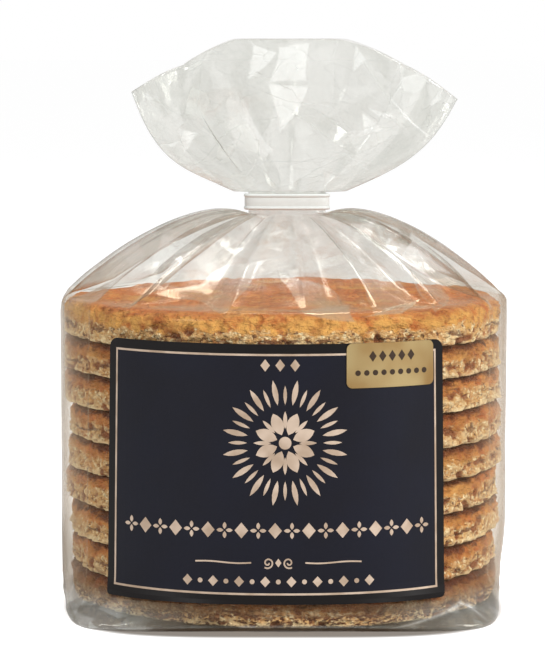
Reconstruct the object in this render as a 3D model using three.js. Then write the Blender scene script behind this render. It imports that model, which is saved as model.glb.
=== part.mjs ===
// A clear bag of nine stroopwafels: a tall film bag packed round the stack, gathered at the neck
// under a flat white clip band, with its mouth fanned out above and a dark label on its front.
// Millimetres, +Z up. The bag stands on Z = 0, its axis is X = Y = 0 and its label faces -Y.
import * as THREE from 'three';

// ---- Driving dimensions ----------------------------------------------------------------------

const WAFFLE = { count: 9, radius: 50, pitch: 7.7 };
const FILM_STANDOFF = { side: 2.5, front: 1.5 }; // slack of the film beside and before the stack

const STACK_TOP = WAFFLE.count * WAFFLE.pitch;
const BODY = {
  halfWidth: WAFFLE.radius + FILM_STANDOFF.side,
  halfDepth: WAFFLE.radius + FILM_STANDOFF.front,
  height: STACK_TOP,
  roundness: { low: 2.25, high: 2.08 }, // superellipse exponent of the bag round the waffles
  baseRoundness: 8, // and of its folded, nearly square base
  baseDraw: { side: 3.5, front: 0.5 }, // how much closer to the axis the base is folded in
  baseFade: 3.7, // height over which the square base turns round
  baseEdge: 2, // radius of the fold between base and wall
  waffleRelief: 0.7, // depth of the dips between waffles where the film hugs the back
  hug: { from: 110, to: 138 }, // degrees from the front where the film closes in on the back
  plainAtBase: 7, // height of wall at the base that stays free of dips
  plainAtTop: 5,
};

// Radial folds of the gathered film, in degrees from the front and turning towards +X.
const CREASES = [-56, -41, -14, 6, 24, 43, 62, 80, 101, 118, 139, 158, 177, 199, 221, 242, 262, 283];
const COLUMNS_PER_FOLD = 4;
const FOLD_EVENNESS = { least: 0.35, most: 1, turn: 2.4 }; // no two neighbouring folds are as deep

const SHOULDER = {
  rows: 9,
  sag: { down: 3, inwards: 1.4, peak: 0.8 }, // how the film hangs between two creases
  side: { rise: 3.4, spread: 14, lift: 7.6 }, // full and round, seen from the front
  front: { rise: 3.6, spread: 12, lift: -3.2 }, // nearly straight, seen from the side
};

const CLIP = {
  centreX: 0.85,
  bottom: 90.1,
  height: 3.75,
  halfWidth: 10.3,
  halfDepth: 3.5,
  thickness: 0.9,
  wire: { height: 0.7, bead: 0.3 }, // wires along both edges stand proud of the band
  lap: { from: 150, to: 205, extra: 0.5 }, // the band's sealed overlap, at the back
  sides: 48,
};
const OVAL = { across: 0.8, along: 0.5 }; // powers that turn an ellipse into the clip's long oval

const CLEARANCE = 0.35; // between any two pieces that touch on the real thing
const CLIP_TOP = CLIP.bottom + CLIP.height;

const NECK = {
  halfWidth: CLIP.halfWidth - CLIP.thickness - CLEARANCE,
  halfDepth: CLIP.halfDepth - CLIP.thickness - CLEARANCE,
  bottom: CLIP.bottom - 3 * CLEARANCE,
  top: CLIP_TOP + CLEARANCE,
  pleatDepth: 0.25, // share of the half depth that the packed pleats cut in
};

const FRILL = {
  pivot: 10.5, // the fan's lines meet this far below the neck's top
  mouthLength: [49.9, 46.6, 47.8, 45.7, 47.4, 48.2, 51.3], // pivot to mouth edge, left to right
  halfDepth: 10.5,
  rows: 7,
  rowSpacing: 1.3, // a power that brings rows closer where the film leaves the clip
  bellyPlace: 0.75, // a power that moves the fan's widest angle towards the clip
  ruffle: 0.62, // share of the half depth that a fold cuts in at the mouth
  mouthDish: 5, // depth of the hollow in the open mouth
  mouthWall: 0.4, // inner ring of the mouth as a share of the outer
};
const FRILL_SPREAD = {
  left: { start: 49, belly: 8.3, end: 47.5 }, // degrees from upright to the fan's edge
  right: { start: 52, belly: 6.8, end: 51.3 },
};

const LABEL = { from: -46.5, to: 41.2, bottom: 6.6, top: 63.9, thickness: 0.4, corner: 2.2 };
const STICKER = { from: 15, to: 38, bottom: 54.1, top: 63.9, thickness: 0.3, corner: 1.3 };
const SHEET = { columnStep: 4.5, rowStep: 5, cornerSteps: 3 };

// ---- Small maths -----------------------------------------------------------------------------

const radians = THREE.MathUtils.degToRad;
const mix = THREE.MathUtils.lerp;
const smoothstep = THREE.MathUtils.smoothstep;

function signedPower(value, exponent) {
  return Math.sign(value) * Math.abs(value) ** exponent;
}

/** Distance from the axis to a superellipse at an angle from the front. */
function superRadius(angle, halfWidth, halfDepth, exponent) {
  const across = Math.abs(Math.sin(angle) / halfWidth) ** exponent;
  const along = Math.abs(Math.cos(angle) / halfDepth) ** exponent;
  return (across + along) ** (-1 / exponent);
}

function cubic(a, b, c, d, t) {
  const s = 1 - t;
  return s ** 3 * a + 3 * s * s * t * b + 3 * s * t * t * c + t ** 3 * d;
}

/** A value between evenly spaced samples, for place -1 to 1. */
function sampleAcross(samples, place) {
  const position = ((place + 1) / 2) * (samples.length - 1);
  const index = Math.min(Math.floor(position), samples.length - 2);
  return mix(samples[index], samples[index + 1], position - index);
}

// ---- Closed solids from rings and sheets -----------------------------------------------------

function closedGeometry(points, triangles) {
  const geometry = new THREE.BufferGeometry();
  geometry.setFromPoints(points);
  geometry.setIndex(triangles.flat());
  geometry.computeVertexNormals();
  return geometry;
}

/** Triangles between consecutive rings, each ring running counter-clockwise seen from above. */
function ringWalls(ringCount, size) {
  const triangles = [];
  for (let ring = 0; ring < ringCount - 1; ring += 1) {
    for (let column = 0; column < size; column += 1) {
      const next = (column + 1) % size;
      const low = [ring * size + column, ring * size + next];
      const high = [(ring + 1) * size + column, (ring + 1) * size + next];
      triangles.push([low[0], low[1], high[1]], [low[0], high[1], high[0]]);
    }
  }
  return triangles;
}

function capTriangles(ring, firstIndex, facesUp) {
  const outline = ring.map((point) => new THREE.Vector2(point.x, point.y));
  return THREE.ShapeUtils.triangulateShape(outline, []).map((corners) => {
    const [a, b, c] = corners.map((corner) => firstIndex + corner);
    return facesUp ? [a, b, c] : [a, c, b];
  });
}

/** A solid lofted through rings from the bottom up, closed by a cap at each end. */
function loftedSolid(rings) {
  const size = rings[0].length;
  const lastRing = rings.length - 1;
  const triangles = [
    ...capTriangles(rings[0], 0, false),
    ...ringWalls(rings.length, size),
    ...capTriangles(rings[lastRing], lastRing * size, true),
  ];
  return closedGeometry(rings.flat(), triangles);
}

/** A thin solid between two grids of points, [column][row], that share their layout. */
function sheetSolid(inner, outer) {
  const columns = outer.length;
  const rows = outer[0].length;
  const perFace = columns * rows;
  const index = (face, column, row) => face * perFace + column * rows + row;
  const triangles = [];
  const quad = (a, b, c, d) => triangles.push([a, b, c], [a, c, d]);
  for (let i = 0; i < columns - 1; i += 1) {
    for (let j = 0; j < rows - 1; j += 1) {
      quad(index(1, i, j), index(1, i + 1, j), index(1, i + 1, j + 1), index(1, i, j + 1));
      quad(index(0, i, j), index(0, i, j + 1), index(0, i + 1, j + 1), index(0, i + 1, j));
    }
    quad(index(0, i, 0), index(0, i + 1, 0), index(1, i + 1, 0), index(1, i, 0));
    quad(index(1, i, rows - 1), index(1, i + 1, rows - 1), index(0, i + 1, rows - 1), index(0, i, rows - 1));
  }
  for (let j = 0; j < rows - 1; j += 1) {
    quad(index(0, 0, j), index(1, 0, j), index(1, 0, j + 1), index(0, 0, j + 1));
    const last = columns - 1;
    quad(index(1, last, j), index(0, last, j), index(0, last, j + 1), index(1, last, j + 1));
  }
  return closedGeometry([...inner.flat(), ...outer.flat()], triangles);
}

// ---- Bag -------------------------------------------------------------------------------------

/** Columns that run from base to mouth, one on every crease; sag is greatest midway between two. */
function bagColumns() {
  const { least, most, turn } = FOLD_EVENNESS;
  const columns = [];
  CREASES.forEach((crease, i) => {
    const next = i + 1 < CREASES.length ? CREASES[i + 1] : CREASES[0] + 360;
    const depth = mix(least, most, 0.5 + 0.5 * Math.sin(turn * i));
    for (let step = 0; step < COLUMNS_PER_FOLD; step += 1) {
      const share = step / COLUMNS_PER_FOLD;
      const sag = depth * (1 - Math.abs(2 * share - 1));
      columns.push({ angle: radians(mix(crease, next, share)), sag });
    }
  });
  return columns;
}

/** Half sizes and superellipse exponent of the bag's level section. */
function bodySection(z) {
  const folded = Math.exp(-((z / BODY.baseFade) ** 2));
  const round = mix(BODY.roundness.low, BODY.roundness.high, z / BODY.height);
  return {
    halfWidth: BODY.halfWidth - BODY.baseDraw.side * folded,
    halfDepth: BODY.halfDepth - BODY.baseDraw.front * folded,
    exponent: mix(round, BODY.baseRoundness, folded),
  };
}

/** A point on the bag's wall, moved outwards by offset along the wall's level normal. */
function bodyPoint(angle, z, offset = 0) {
  const { halfWidth, halfDepth, exponent } = bodySection(z);
  const radius = superRadius(angle, halfWidth, halfDepth, exponent);
  const x = radius * Math.sin(angle);
  const y = -radius * Math.cos(angle);
  const normal = new THREE.Vector2(
    signedPower(x / halfWidth, exponent - 1) / halfWidth,
    signedPower(y / halfDepth, exponent - 1) / halfDepth,
  ).normalize();
  return new THREE.Vector3(x + normal.x * offset, y + normal.y * offset, z);
}

/** How far the wall is drawn in at the base fold and between the waffles at the back. */
function bodyInset(angle, z) {
  const belowFold = Math.max(0, BODY.baseEdge - z);
  const fold = BODY.baseEdge - Math.sqrt(BODY.baseEdge ** 2 - belowFold ** 2);
  const dip = 0.5 + 0.5 * Math.cos((2 * Math.PI * z) / WAFFLE.pitch);
  const { from, to } = BODY.hug;
  const hug = smoothstep(-Math.cos(angle), -Math.cos(radians(from)), -Math.cos(radians(to)));
  const aboveBase = smoothstep(z, BODY.baseEdge, BODY.plainAtBase);
  const clearOfEnds = aboveBase * (1 - smoothstep(z, STACK_TOP - BODY.plainAtTop, STACK_TOP));
  return fold + BODY.waffleRelief * dip * hug * clearOfEnds;
}

function bodyHeights() {
  const baseFold = [0, 0.12, 0.4, 1].map((share) => share * BODY.baseEdge);
  const squareBase = [0.42, 0.57, 0.72, 0.86, 1].map((share) => share * WAFFLE.pitch);
  const heights = [...baseFold, ...squareBase];
  for (let waffle = 1; waffle < WAFFLE.count; waffle += 1) {
    [0.25, 0.75, 1].forEach((share) => heights.push((waffle + share) * WAFFLE.pitch));
  }
  return heights;
}

function bodyRings(columns) {
  const wallPoint = (angle, z) => {
    const wall = bodyPoint(angle, z);
    const drawnIn = 1 - bodyInset(angle, z) / Math.hypot(wall.x, wall.y);
    return wall.multiply(new THREE.Vector3(drawnIn, drawnIn, 1));
  };
  return bodyHeights().map((z) => columns.map(({ angle }) => wallPoint(angle, z)));
}

/** A point on the long oval that the neck and its clip share. */
function ovalPoint(angle, halfWidth, halfDepth, z) {
  return new THREE.Vector3(
    CLIP.centreX + halfWidth * signedPower(Math.sin(angle), OVAL.across),
    -halfDepth * signedPower(Math.cos(angle), OVAL.along),
    z,
  );
}

function neckPoint({ angle, sag }, z) {
  return ovalPoint(angle, NECK.halfWidth, NECK.halfDepth * (1 - NECK.pleatDepth * sag), z);
}

/** The film's way from the top waffle's rim, share 0, up to the neck, share 1. */
function shoulderPoint(column, share) {
  const rim = bodyPoint(column.angle, BODY.height);
  const neck = neckPoint(column, NECK.bottom);
  const sideways = Math.sin(column.angle) ** 2;
  const rise = mix(SHOULDER.front.rise, SHOULDER.side.rise, sideways);
  const spread = mix(SHOULDER.front.spread, SHOULDER.side.spread, sideways);
  const lift = mix(SHOULDER.front.lift, SHOULDER.side.lift, sideways);
  const outwards = new THREE.Vector2(Math.sin(column.angle), -Math.cos(column.angle));
  const sag = column.sag * Math.sin(Math.PI * share ** SHOULDER.sag.peak);
  const level = (axis) =>
    cubic(rim[axis], rim[axis], neck[axis] + outwards[axis] * spread, neck[axis], share) -
    SHOULDER.sag.inwards * sag * outwards[axis];
  const z = cubic(rim.z, rim.z + rise, neck.z + lift, neck.z, share) - SHOULDER.sag.down * sag;
  return new THREE.Vector3(level('x'), level('y'), z);
}

function shoulderRings(columns) {
  return Array.from({ length: SHOULDER.rows }, (_, row) =>
    columns.map((column) => shoulderPoint(column, (row + 1) / (SHOULDER.rows + 1))),
  );
}

/** Angle from upright to the fan's side edge, which bellies out between neck and mouth. */
function frillSpread(side, share) {
  const { start, belly, end } = FRILL_SPREAD[side];
  return radians(mix(start, end, share) + belly * Math.sin(Math.PI * share ** FRILL.bellyPlace));
}

/** A point of the fanned mouth, from share 0 at the clip to 1 at the cut edge. */
function frillPoint({ angle, sag }, share, dish = 0, wall = 1) {
  const across = Math.sin(angle);
  const lean = across * frillSpread(across < 0 ? 'left' : 'right', share);
  const length = mix(FRILL.pivot / Math.cos(lean), sampleAcross(FRILL.mouthLength, across), share) - dish;
  const depth = mix(NECK.halfDepth, FRILL.halfDepth, share);
  const ruffle = 1 - mix(NECK.pleatDepth, FRILL.ruffle, share) * sag;
  return new THREE.Vector3(
    CLIP.centreX + length * Math.sin(lean),
    -depth * ruffle * wall * signedPower(Math.cos(angle), mix(OVAL.along, 1, share)),
    NECK.top - FRILL.pivot + length * Math.cos(lean),
  );
}

function frillRings(columns) {
  const rings = Array.from({ length: FRILL.rows }, (_, row) => {
    const share = ((row + 1) / FRILL.rows) ** FRILL.rowSpacing;
    return columns.map((column) => frillPoint(column, share));
  });
  rings.push(columns.map((column) => frillPoint(column, 1, FRILL.mouthDish, FRILL.mouthWall)));
  return rings;
}

function bagGeometry() {
  const columns = bagColumns();
  const neckHeights = [NECK.bottom, NECK.top];
  return loftedSolid([
    ...bodyRings(columns),
    ...shoulderRings(columns),
    ...neckHeights.map((z) => columns.map((column) => neckPoint(column, z))),
    ...frillRings(columns),
  ]);
}

// ---- Neck clip -------------------------------------------------------------------------------

/** The band's section, [distance out, height], counter-clockwise from its inner bottom edge. */
function clipSection() {
  const { thickness, height, wire } = CLIP;
  const web = thickness - wire.bead;
  const lowWire = [[thickness, 0], [thickness, wire.height], [web, wire.height + wire.bead]];
  const highWire = lowWire.map(([out, z]) => [out, height - z]).reverse();
  return [[0, 0], ...lowWire, ...highWire, [0, height]];
}

function clipGeometry() {
  const innerWidth = CLIP.halfWidth - CLIP.thickness;
  const innerDepth = CLIP.halfDepth - CLIP.thickness;
  const section = clipSection();
  const points = [];
  const triangles = [];
  for (let side = 0; side < CLIP.sides; side += 1) {
    const degrees = (360 * side) / CLIP.sides;
    const lap = degrees > CLIP.lap.from && degrees < CLIP.lap.to ? CLIP.lap.extra : 0;
    section.forEach(([out, z]) => {
      const reach = out > 0 ? out + lap : 0;
      points.push(ovalPoint(radians(degrees), innerWidth + reach, innerDepth + reach, CLIP.bottom + z));
    });
    const here = side * section.length;
    const there = ((side + 1) % CLIP.sides) * section.length;
    section.forEach((_, corner) => {
      const next = (corner + 1) % section.length;
      triangles.push([here + corner, there + corner, there + next]);
      triangles.push([here + corner, there + next, here + next]);
    });
  }
  return closedGeometry(points, triangles);
}

// ---- Label and sticker -----------------------------------------------------------------------

/** Where columns run across a sheet and how far each is cut short by the sheet's round corners. */
function sheetColumns({ from, to, corner }) {
  const degreesPerMillimetre = 180 / (Math.PI * BODY.halfWidth);
  const ends = Array.from({ length: SHEET.cornerSteps + 1 }, (_, step) => {
    const turn = (Math.PI / 2) * (step / SHEET.cornerSteps);
    const inwards = corner * (1 - Math.cos(turn)) * degreesPerMillimetre;
    return { inwards, cut: corner * (1 - Math.sin(turn)) };
  });
  const reach = corner * degreesPerMillimetre;
  const steps = Math.ceil((to - from - 2 * reach) / SHEET.columnStep);
  const middle = Array.from({ length: steps - 1 }, (_, step) => ({
    degrees: mix(from + reach, to - reach, (step + 1) / steps),
    cut: 0,
  }));
  return [
    ...ends.map(({ inwards, cut }) => ({ degrees: from + inwards, cut })),
    ...middle,
    ...ends.map(({ inwards, cut }) => ({ degrees: to - inwards, cut })).reverse(),
  ];
}

function wrappedSheet(sheet, offset, squareTop = false) {
  const rows = Math.max(2, Math.ceil((sheet.top - sheet.bottom) / SHEET.rowStep));
  const face = (distance) =>
    sheetColumns(sheet).map(({ degrees, cut }) => {
      const low = sheet.bottom + cut;
      const high = sheet.top - (squareTop ? 0 : cut);
      return Array.from({ length: rows + 1 }, (_, row) =>
        bodyPoint(radians(degrees), mix(low, high, row / rows), distance),
      );
    });
  return sheetSolid(face(offset), face(offset + sheet.thickness));
}

// ---- The object ------------------------------------------------------------------------------

function part(name, geometry, material) {
  const mesh = new THREE.Mesh(geometry, new THREE.MeshStandardMaterial(material));
  mesh.name = name;
  return mesh;
}

const labelOffset = CLEARANCE;
const stickerOffset = labelOffset + LABEL.thickness + CLEARANCE;

const stroopwafelBag = new THREE.Group();
stroopwafelBag.add(
  part('bag', bagGeometry(), { color: 0xd8b48c, roughness: 0.2, metalness: 0 }),
  part('neck_clip', clipGeometry(), { color: 0xe9e9e3, roughness: 0.4, metalness: 0 }),
  part('label', wrappedSheet(LABEL, labelOffset), { color: 0x1d1e30, roughness: 0.45, metalness: 0 }),
  part('corner_sticker', wrappedSheet(STICKER, stickerOffset, true), {
    color: 0xb4935a,
    roughness: 0.35,
    metalness: 0.6,
  }),
);

export default stroopwafelBag;
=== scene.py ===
import itertools
import math

import bmesh
import bpy
import numpy as np
from bpy.props import FloatProperty, FloatVectorProperty, IntProperty, PointerProperty
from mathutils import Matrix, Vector
from mathutils.bvhtree import BVHTree
from mathutils.geometry import delaunay_2d_cdt


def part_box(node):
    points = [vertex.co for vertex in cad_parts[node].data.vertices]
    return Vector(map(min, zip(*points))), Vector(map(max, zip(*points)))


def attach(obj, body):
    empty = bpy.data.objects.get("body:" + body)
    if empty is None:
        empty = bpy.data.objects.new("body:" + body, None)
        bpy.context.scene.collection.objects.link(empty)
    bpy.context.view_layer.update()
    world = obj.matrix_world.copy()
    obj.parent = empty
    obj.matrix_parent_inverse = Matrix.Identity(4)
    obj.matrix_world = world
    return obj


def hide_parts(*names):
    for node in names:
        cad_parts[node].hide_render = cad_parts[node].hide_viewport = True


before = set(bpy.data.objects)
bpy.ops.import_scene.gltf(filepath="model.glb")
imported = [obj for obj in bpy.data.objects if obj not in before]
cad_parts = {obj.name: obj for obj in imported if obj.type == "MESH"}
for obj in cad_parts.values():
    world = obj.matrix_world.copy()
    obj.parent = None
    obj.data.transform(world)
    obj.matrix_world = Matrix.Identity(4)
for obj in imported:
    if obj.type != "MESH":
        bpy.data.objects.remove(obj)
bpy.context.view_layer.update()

bl_info = {
    "name": "Bagged Stroopwafels",
    "version": (1, 0, 0),
    "blender": (4, 5, 0),
    "location": "3D View > Sidebar > Waffle Bag",
    "description": "Builds a clear film bag of stroopwafels with its clip, label and sticker",
    "category": "Add Mesh",
}

# A clear bag of nine stroopwafels. Shapes are worked out in millimetres, in the frame of the CAD
# solid: +Z up, the bag stands on Z = 0, its axis is X = Y = 0 and its label faces -Y. Angles run
# from the front and turn towards +X.

MM = 0.001
BODY = "root"
TURN = 2 * math.pi

# ---- The bag's form, as its CAD solid has it --------------------------------------------------

WAFFLE_COUNT = 9
STACK_TOP = 69.3
WAFFLE_PITCH = STACK_TOP / WAFFLE_COUNT
BAG_HALF_WIDTH = 52.5
BAG_HALF_DEPTH = 51.5
ROUNDNESS_LOW, ROUNDNESS_HIGH = 2.25, 2.08  # superellipse exponents round the waffles
BASE_ROUNDNESS = 8.0  # and of the folded, nearly square base
BASE_DRAW_SIDE, BASE_DRAW_FRONT = 3.5, 0.5
BASE_FADE = 3.7
BASE_EDGE = 2.0
# The film alone is also tucked in low down on the right, between angles with these sines, and hugs
# the waffles at the back.
TUCK_DEPTH, TUCK_HEIGHT, TUCK_ABOVE, TUCK_BELOW = 1.2, 4.5, 8.0, 3.0
TUCK_SIDE = (0.25, 0.8)
HUG_DEPTH = 0.7
HUG_FROM, HUG_TO = 110.0, 138.0
HUG_FADE = 5.0

CREASES = (-56, -41, -14, 6, 24, 43, 62, 80, 101, 118, 139, 158, 177, 199, 221, 242, 262, 283)
FOLD_LEAST, FOLD_MOST, FOLD_TURN = 0.12, 0.6, 2.4
COLUMNS_PER_FOLD = 16
FOLD_LEAN, FOLD_LEAN_TURN = 0.3, 1.7  # the deepest line lies off the middle of its fold
PANEL_SEED = 4

CLIP_LOW, CLIP_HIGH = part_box("neck_clip")
CLIP_CENTRE_X = 0.85
CLIP_BOTTOM, CLIP_TOP = CLIP_LOW.z / MM, CLIP_HIGH.z / MM
NECK_HALF_WIDTH, NECK_HALF_DEPTH = 9.05, 2.25
NECK_BOTTOM, NECK_TOP = CLIP_BOTTOM - 1.05, CLIP_TOP + 0.35
NECK_PLEAT = 0.25
OVAL_ACROSS, OVAL_ALONG = 0.8, 0.5

FAN_PIVOT = 10.5
MOUTH_LENGTH = (49.9, 46.8, 47.4, 45.7, 47.4, 48.2, 51.3)  # pivot to mouth edge, left to right
MOUTH_HALF_DEPTH = 10.5
MOUTH_RUFFLE = 0.08
FAN_PLEAT = 0.3  # how much deeper the pleats are just above the clip
PLEAT_END = (0.6, 0.95)  # sines of the angles between which they end
FAN_LEFT = (49.0, 8.3, 47.5)  # degrees from upright at the clip, belly between, at the mouth
FAN_RIGHT = (52.0, 6.8, 51.3)
FAN_BELLY_PLACE = 0.75

FILM_GAUGE = 0.06
GIRTH = 330.0
FACET_STRAY = 0.42  # how far a corner of the crumpled net strays, as a share of a facet
SEAM_OVERLAP = 3  # facets that the net repeats past its seam

NOISE_TABLE = 4096
NOISE_PRIMES = (73856093, 19349663, 83492791)

# ---- Small maths ------------------------------------------------------------------------------


def mix(a, b, share):
    return a + (b - a) * share


def smoothstep(value, low, high):
    t = np.clip((value - low) / (high - low), 0, 1)
    return t * t * (3 - 2 * t)


def signed_power(value, exponent):
    return np.sign(value) * np.abs(value) ** exponent


def cubic(a, b, c, d, t):
    s = 1 - t
    return s**3 * a + 3 * s * s * t * b + 3 * s * t * t * c + t**3 * d


def points_of(x, y, z):
    return np.stack(np.broadcast_arrays(x, y, z), axis=-1).astype(float)


def lattice_noise(points, lump, seed):
    """Smooth noise from -1 to 1 at each point, with lumps about as large as lump."""
    table = np.random.default_rng(seed).uniform(-1, 1, NOISE_TABLE)
    cell = np.asarray(points, float) / lump
    low = np.floor(cell).astype(np.int64)
    t = cell - low
    t = t * t * (3 - 2 * t)
    total = 0.0
    for corner in itertools.product((0, 1), repeat=3):
        key = (low + corner) * NOISE_PRIMES
        index = (key[..., 0] ^ key[..., 1] ^ key[..., 2]) % NOISE_TABLE
        total = total + table[index] * np.where(corner, t, 1 - t).prod(axis=-1)
    return total


def crumpled(around, along, facet, seed):
    """A sheet crumpled into flat triangles, facet = (size around, along): its height at each point
    and a value of the triangle that the point lies in, both from 0 to 1."""
    rng = np.random.default_rng(seed)
    columns = round(GIRTH / facet[0])
    low, high = along.min() - 2 * facet[1], along.max() + 2 * facet[1]
    rows = math.ceil((high - low) / facet[1])
    stray = rng.uniform(-FACET_STRAY, FACET_STRAY, (rows, columns, 2))
    heights = rng.uniform(0, 1, (rows, columns))
    points = []
    for row, column in itertools.product(range(rows), range(-SEAM_OVERLAP, columns + SEAM_OVERLAP)):
        wrapped = column % columns
        u = (column + stray[row, wrapped, 0] + 0.5 * (row % 2)) * GIRTH / columns
        v = low + (row + stray[row, wrapped, 1]) * facet[1]
        points.append((u, v, heights[row, wrapped]))
    flat = [Vector(point[:2]) for point in points]
    corners, _, faces, origins, _, _ = delaunay_2d_cdt(flat, [], [], 0, 1e-6)
    solid = [(c.x, c.y, points[origins[i][0]][2]) for i, c in enumerate(corners)]
    tree = BVHTree.FromPolygons(solid, faces)
    down = Vector((0, 0, -1))
    cast = [tree.ray_cast(Vector((u, v, 2)), down) for u, v in zip(around.flat, along.flat)]
    height = np.array([0.5 if hit is None else hit.z for hit, _, _, _ in cast])
    tone = rng.uniform(0, 1, len(faces))[[index or 0 for _, _, index, _ in cast]]
    return height.reshape(around.shape), tone.reshape(around.shape)


# ---- Meshes -----------------------------------------------------------------------------------


def new_piece(name, points, faces, finish, replaces=(), attributes=None, smooth=True):
    """A mesh piece from points in millimetres, riding on the bag."""
    mesh = bpy.data.meshes.new(name)
    mesh.from_pydata((np.asarray(points, float) * MM).tolist(), [], faces)
    for key, values in (attributes or {}).items():
        kind = "FLOAT_VECTOR" if np.ndim(values) == 2 else "FLOAT"
        field = "vector" if np.ndim(values) == 2 else "value"
        layer = mesh.attributes.new(key, kind, "POINT")
        layer.data.foreach_set(field, np.asarray(values, np.float32).ravel())
    mesh.polygons.foreach_set("use_smooth", [smooth] * len(mesh.polygons))
    mesh.materials.append(finish)
    mesh.validate()
    piece = bpy.data.objects.new(name, mesh)
    bpy.context.scene.collection.objects.link(piece)
    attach(piece, BODY)
    for node in replaces:
        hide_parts(node)
    return piece


def ring_faces(rows, columns, start=0, closed=False):
    """Quads between rings that run with the angle, from the bottom up; closed joins last to first."""
    faces = []
    for row in range(rows if closed else rows - 1):
        above = (row + 1) % rows
        for column in range(columns):
            beside = (column + 1) % columns
            a, b = start + row * columns + column, start + row * columns + beside
            c, d = start + above * columns + beside, start + above * columns + column
            faces.append((a, b, c, d))
    return faces


def surface_normals(grid):
    """Unit normals of a grid of rings [row, column], pointing out of the ring."""
    around = np.roll(grid, -1, axis=1) - np.roll(grid, 1, axis=1)
    along = np.gradient(grid, axis=0)
    normals = np.cross(around, along)
    return normals / np.maximum(np.linalg.norm(normals, axis=-1, keepdims=True), 1e-9)


# ---- Finishes ---------------------------------------------------------------------------------


def paint(red, green, blue):
    """A linear colour from screen values of 0 to 255."""
    screen = np.array([red, green, blue]) / 255
    linear = np.where(screen <= 0.04045, screen / 12.92, ((screen + 0.055) / 1.055) ** 2.4)
    return tuple(float(value) for value in linear)


class Shade:
    """A node's output. Arithmetic on it adds the Math nodes that work it out."""

    def __init__(self, finish, socket):
        self.finish, self.socket = finish, socket

    def _math(self, operation, first, second):
        return self.finish.node("ShaderNodeMath", {"operation": operation}, {0: first, 1: second})

    def __add__(self, other):
        return self._math("ADD", self, other)

    def __sub__(self, other):
        return self._math("SUBTRACT", self, other)

    def __rsub__(self, other):
        return self._math("SUBTRACT", other, self)

    def __mul__(self, other):
        return self._math("MULTIPLY", self, other)

    def __pow__(self, other):
        return self._math("POWER", self, other)

    def __abs__(self):
        return self._math("ABSOLUTE", self, 0)

    __radd__ = __add__
    __rmul__ = __mul__


class Finish:
    """A material built round one Principled shader."""

    def __init__(self, name, **fixed):
        self.material = bpy.data.materials.new(name)
        self.material.use_nodes = True
        self.tree = self.material.node_tree
        self.tree.nodes.clear()
        self.principled = self.tree.nodes.new("ShaderNodeBsdfPrincipled")
        self.output = self.tree.nodes.new("ShaderNodeOutputMaterial")
        self.tree.links.new(self.principled.outputs[0], self.output.inputs[0])
        self.place = self.node("ShaderNodeTexCoord", output="Object")
        self.set(**{key.replace("_", " "): value for key, value in fixed.items()})

    def feed(self, socket, value):
        if isinstance(value, Shade):
            self.tree.links.new(value.socket, socket)
        elif socket.type == "RGBA" and len(value) == 3:
            socket.default_value = (*value, 1)
        else:
            socket.default_value = value

    def set(self, **sockets):
        for key, value in sockets.items():
            self.feed(self.principled.inputs[key], value)

    def node(self, kind, settings=None, sockets=None, output=0):
        """Any node: its settings are set first, then its sockets get values or links."""
        node = self.tree.nodes.new(kind)
        for key, value in (settings or {}).items():
            setattr(node, key, value)
        for key, value in (sockets or {}).items():
            self.feed(node.inputs[key], value)
        if isinstance(output, tuple):
            return [Shade(self, node.outputs[key]) for key in output]
        return Shade(self, node.outputs[output])

    def noise(self, size, detail=2.0, place=None, output=0):
        """Noise from 0 to 1 with lumps of size millimetres."""
        sockets = {"Vector": place or self.place, "Scale": 1 / (size * MM), "Detail": detail}
        return self.node("ShaderNodeTexNoise", {}, sockets, output)

    def attribute(self, name, output="Fac"):
        return self.node("ShaderNodeAttribute", {"attribute_name": name}, {}, output)

    def step(self, value, low, high):
        """0 below low, 1 above high and smooth between."""
        sockets = {"Value": value, "From Min": low, "From Max": high}
        return self.node("ShaderNodeMapRange", {"interpolation_type": "SMOOTHSTEP"}, sockets)

    def blend(self, share, first, second):
        """A colour between two, by a share of the second."""
        return self.node("ShaderNodeMix", {"data_type": "RGBA"}, {0: share, 6: first, 7: second}, 2)

    def least(self, first, *others):
        for other in others:
            first = self.node("ShaderNodeMath", {"operation": "MINIMUM"}, {0: first, 1: other})
        return first

    def move(self, operation, first, second, output=0):
        """Vector Math on two vectors; a number stands for a vector of three alike."""
        second = (second,) * 3 if isinstance(second, (int, float)) else second
        return self.node("ShaderNodeVectorMath", {"operation": operation}, {0: first, 1: second}, output)

    def bump(self, height, depth, normal=None):
        """A bumped normal; height is from 0 to 1 and depth in millimetres."""
        sockets = {"Height": height, "Distance": depth * MM}
        if normal:
            sockets["Normal"] = normal
        return self.node("ShaderNodeBump", {}, sockets)


# ---- Settings ---------------------------------------------------------------------------------


def length_setting(name, description, millimetres):
    return FloatProperty(name=name, description=description, default=millimetres * MM, unit="LENGTH")


def colour_setting(name, description, linear):
    return FloatVectorProperty(name=name, description=description, default=linear, subtype="COLOR")


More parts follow.
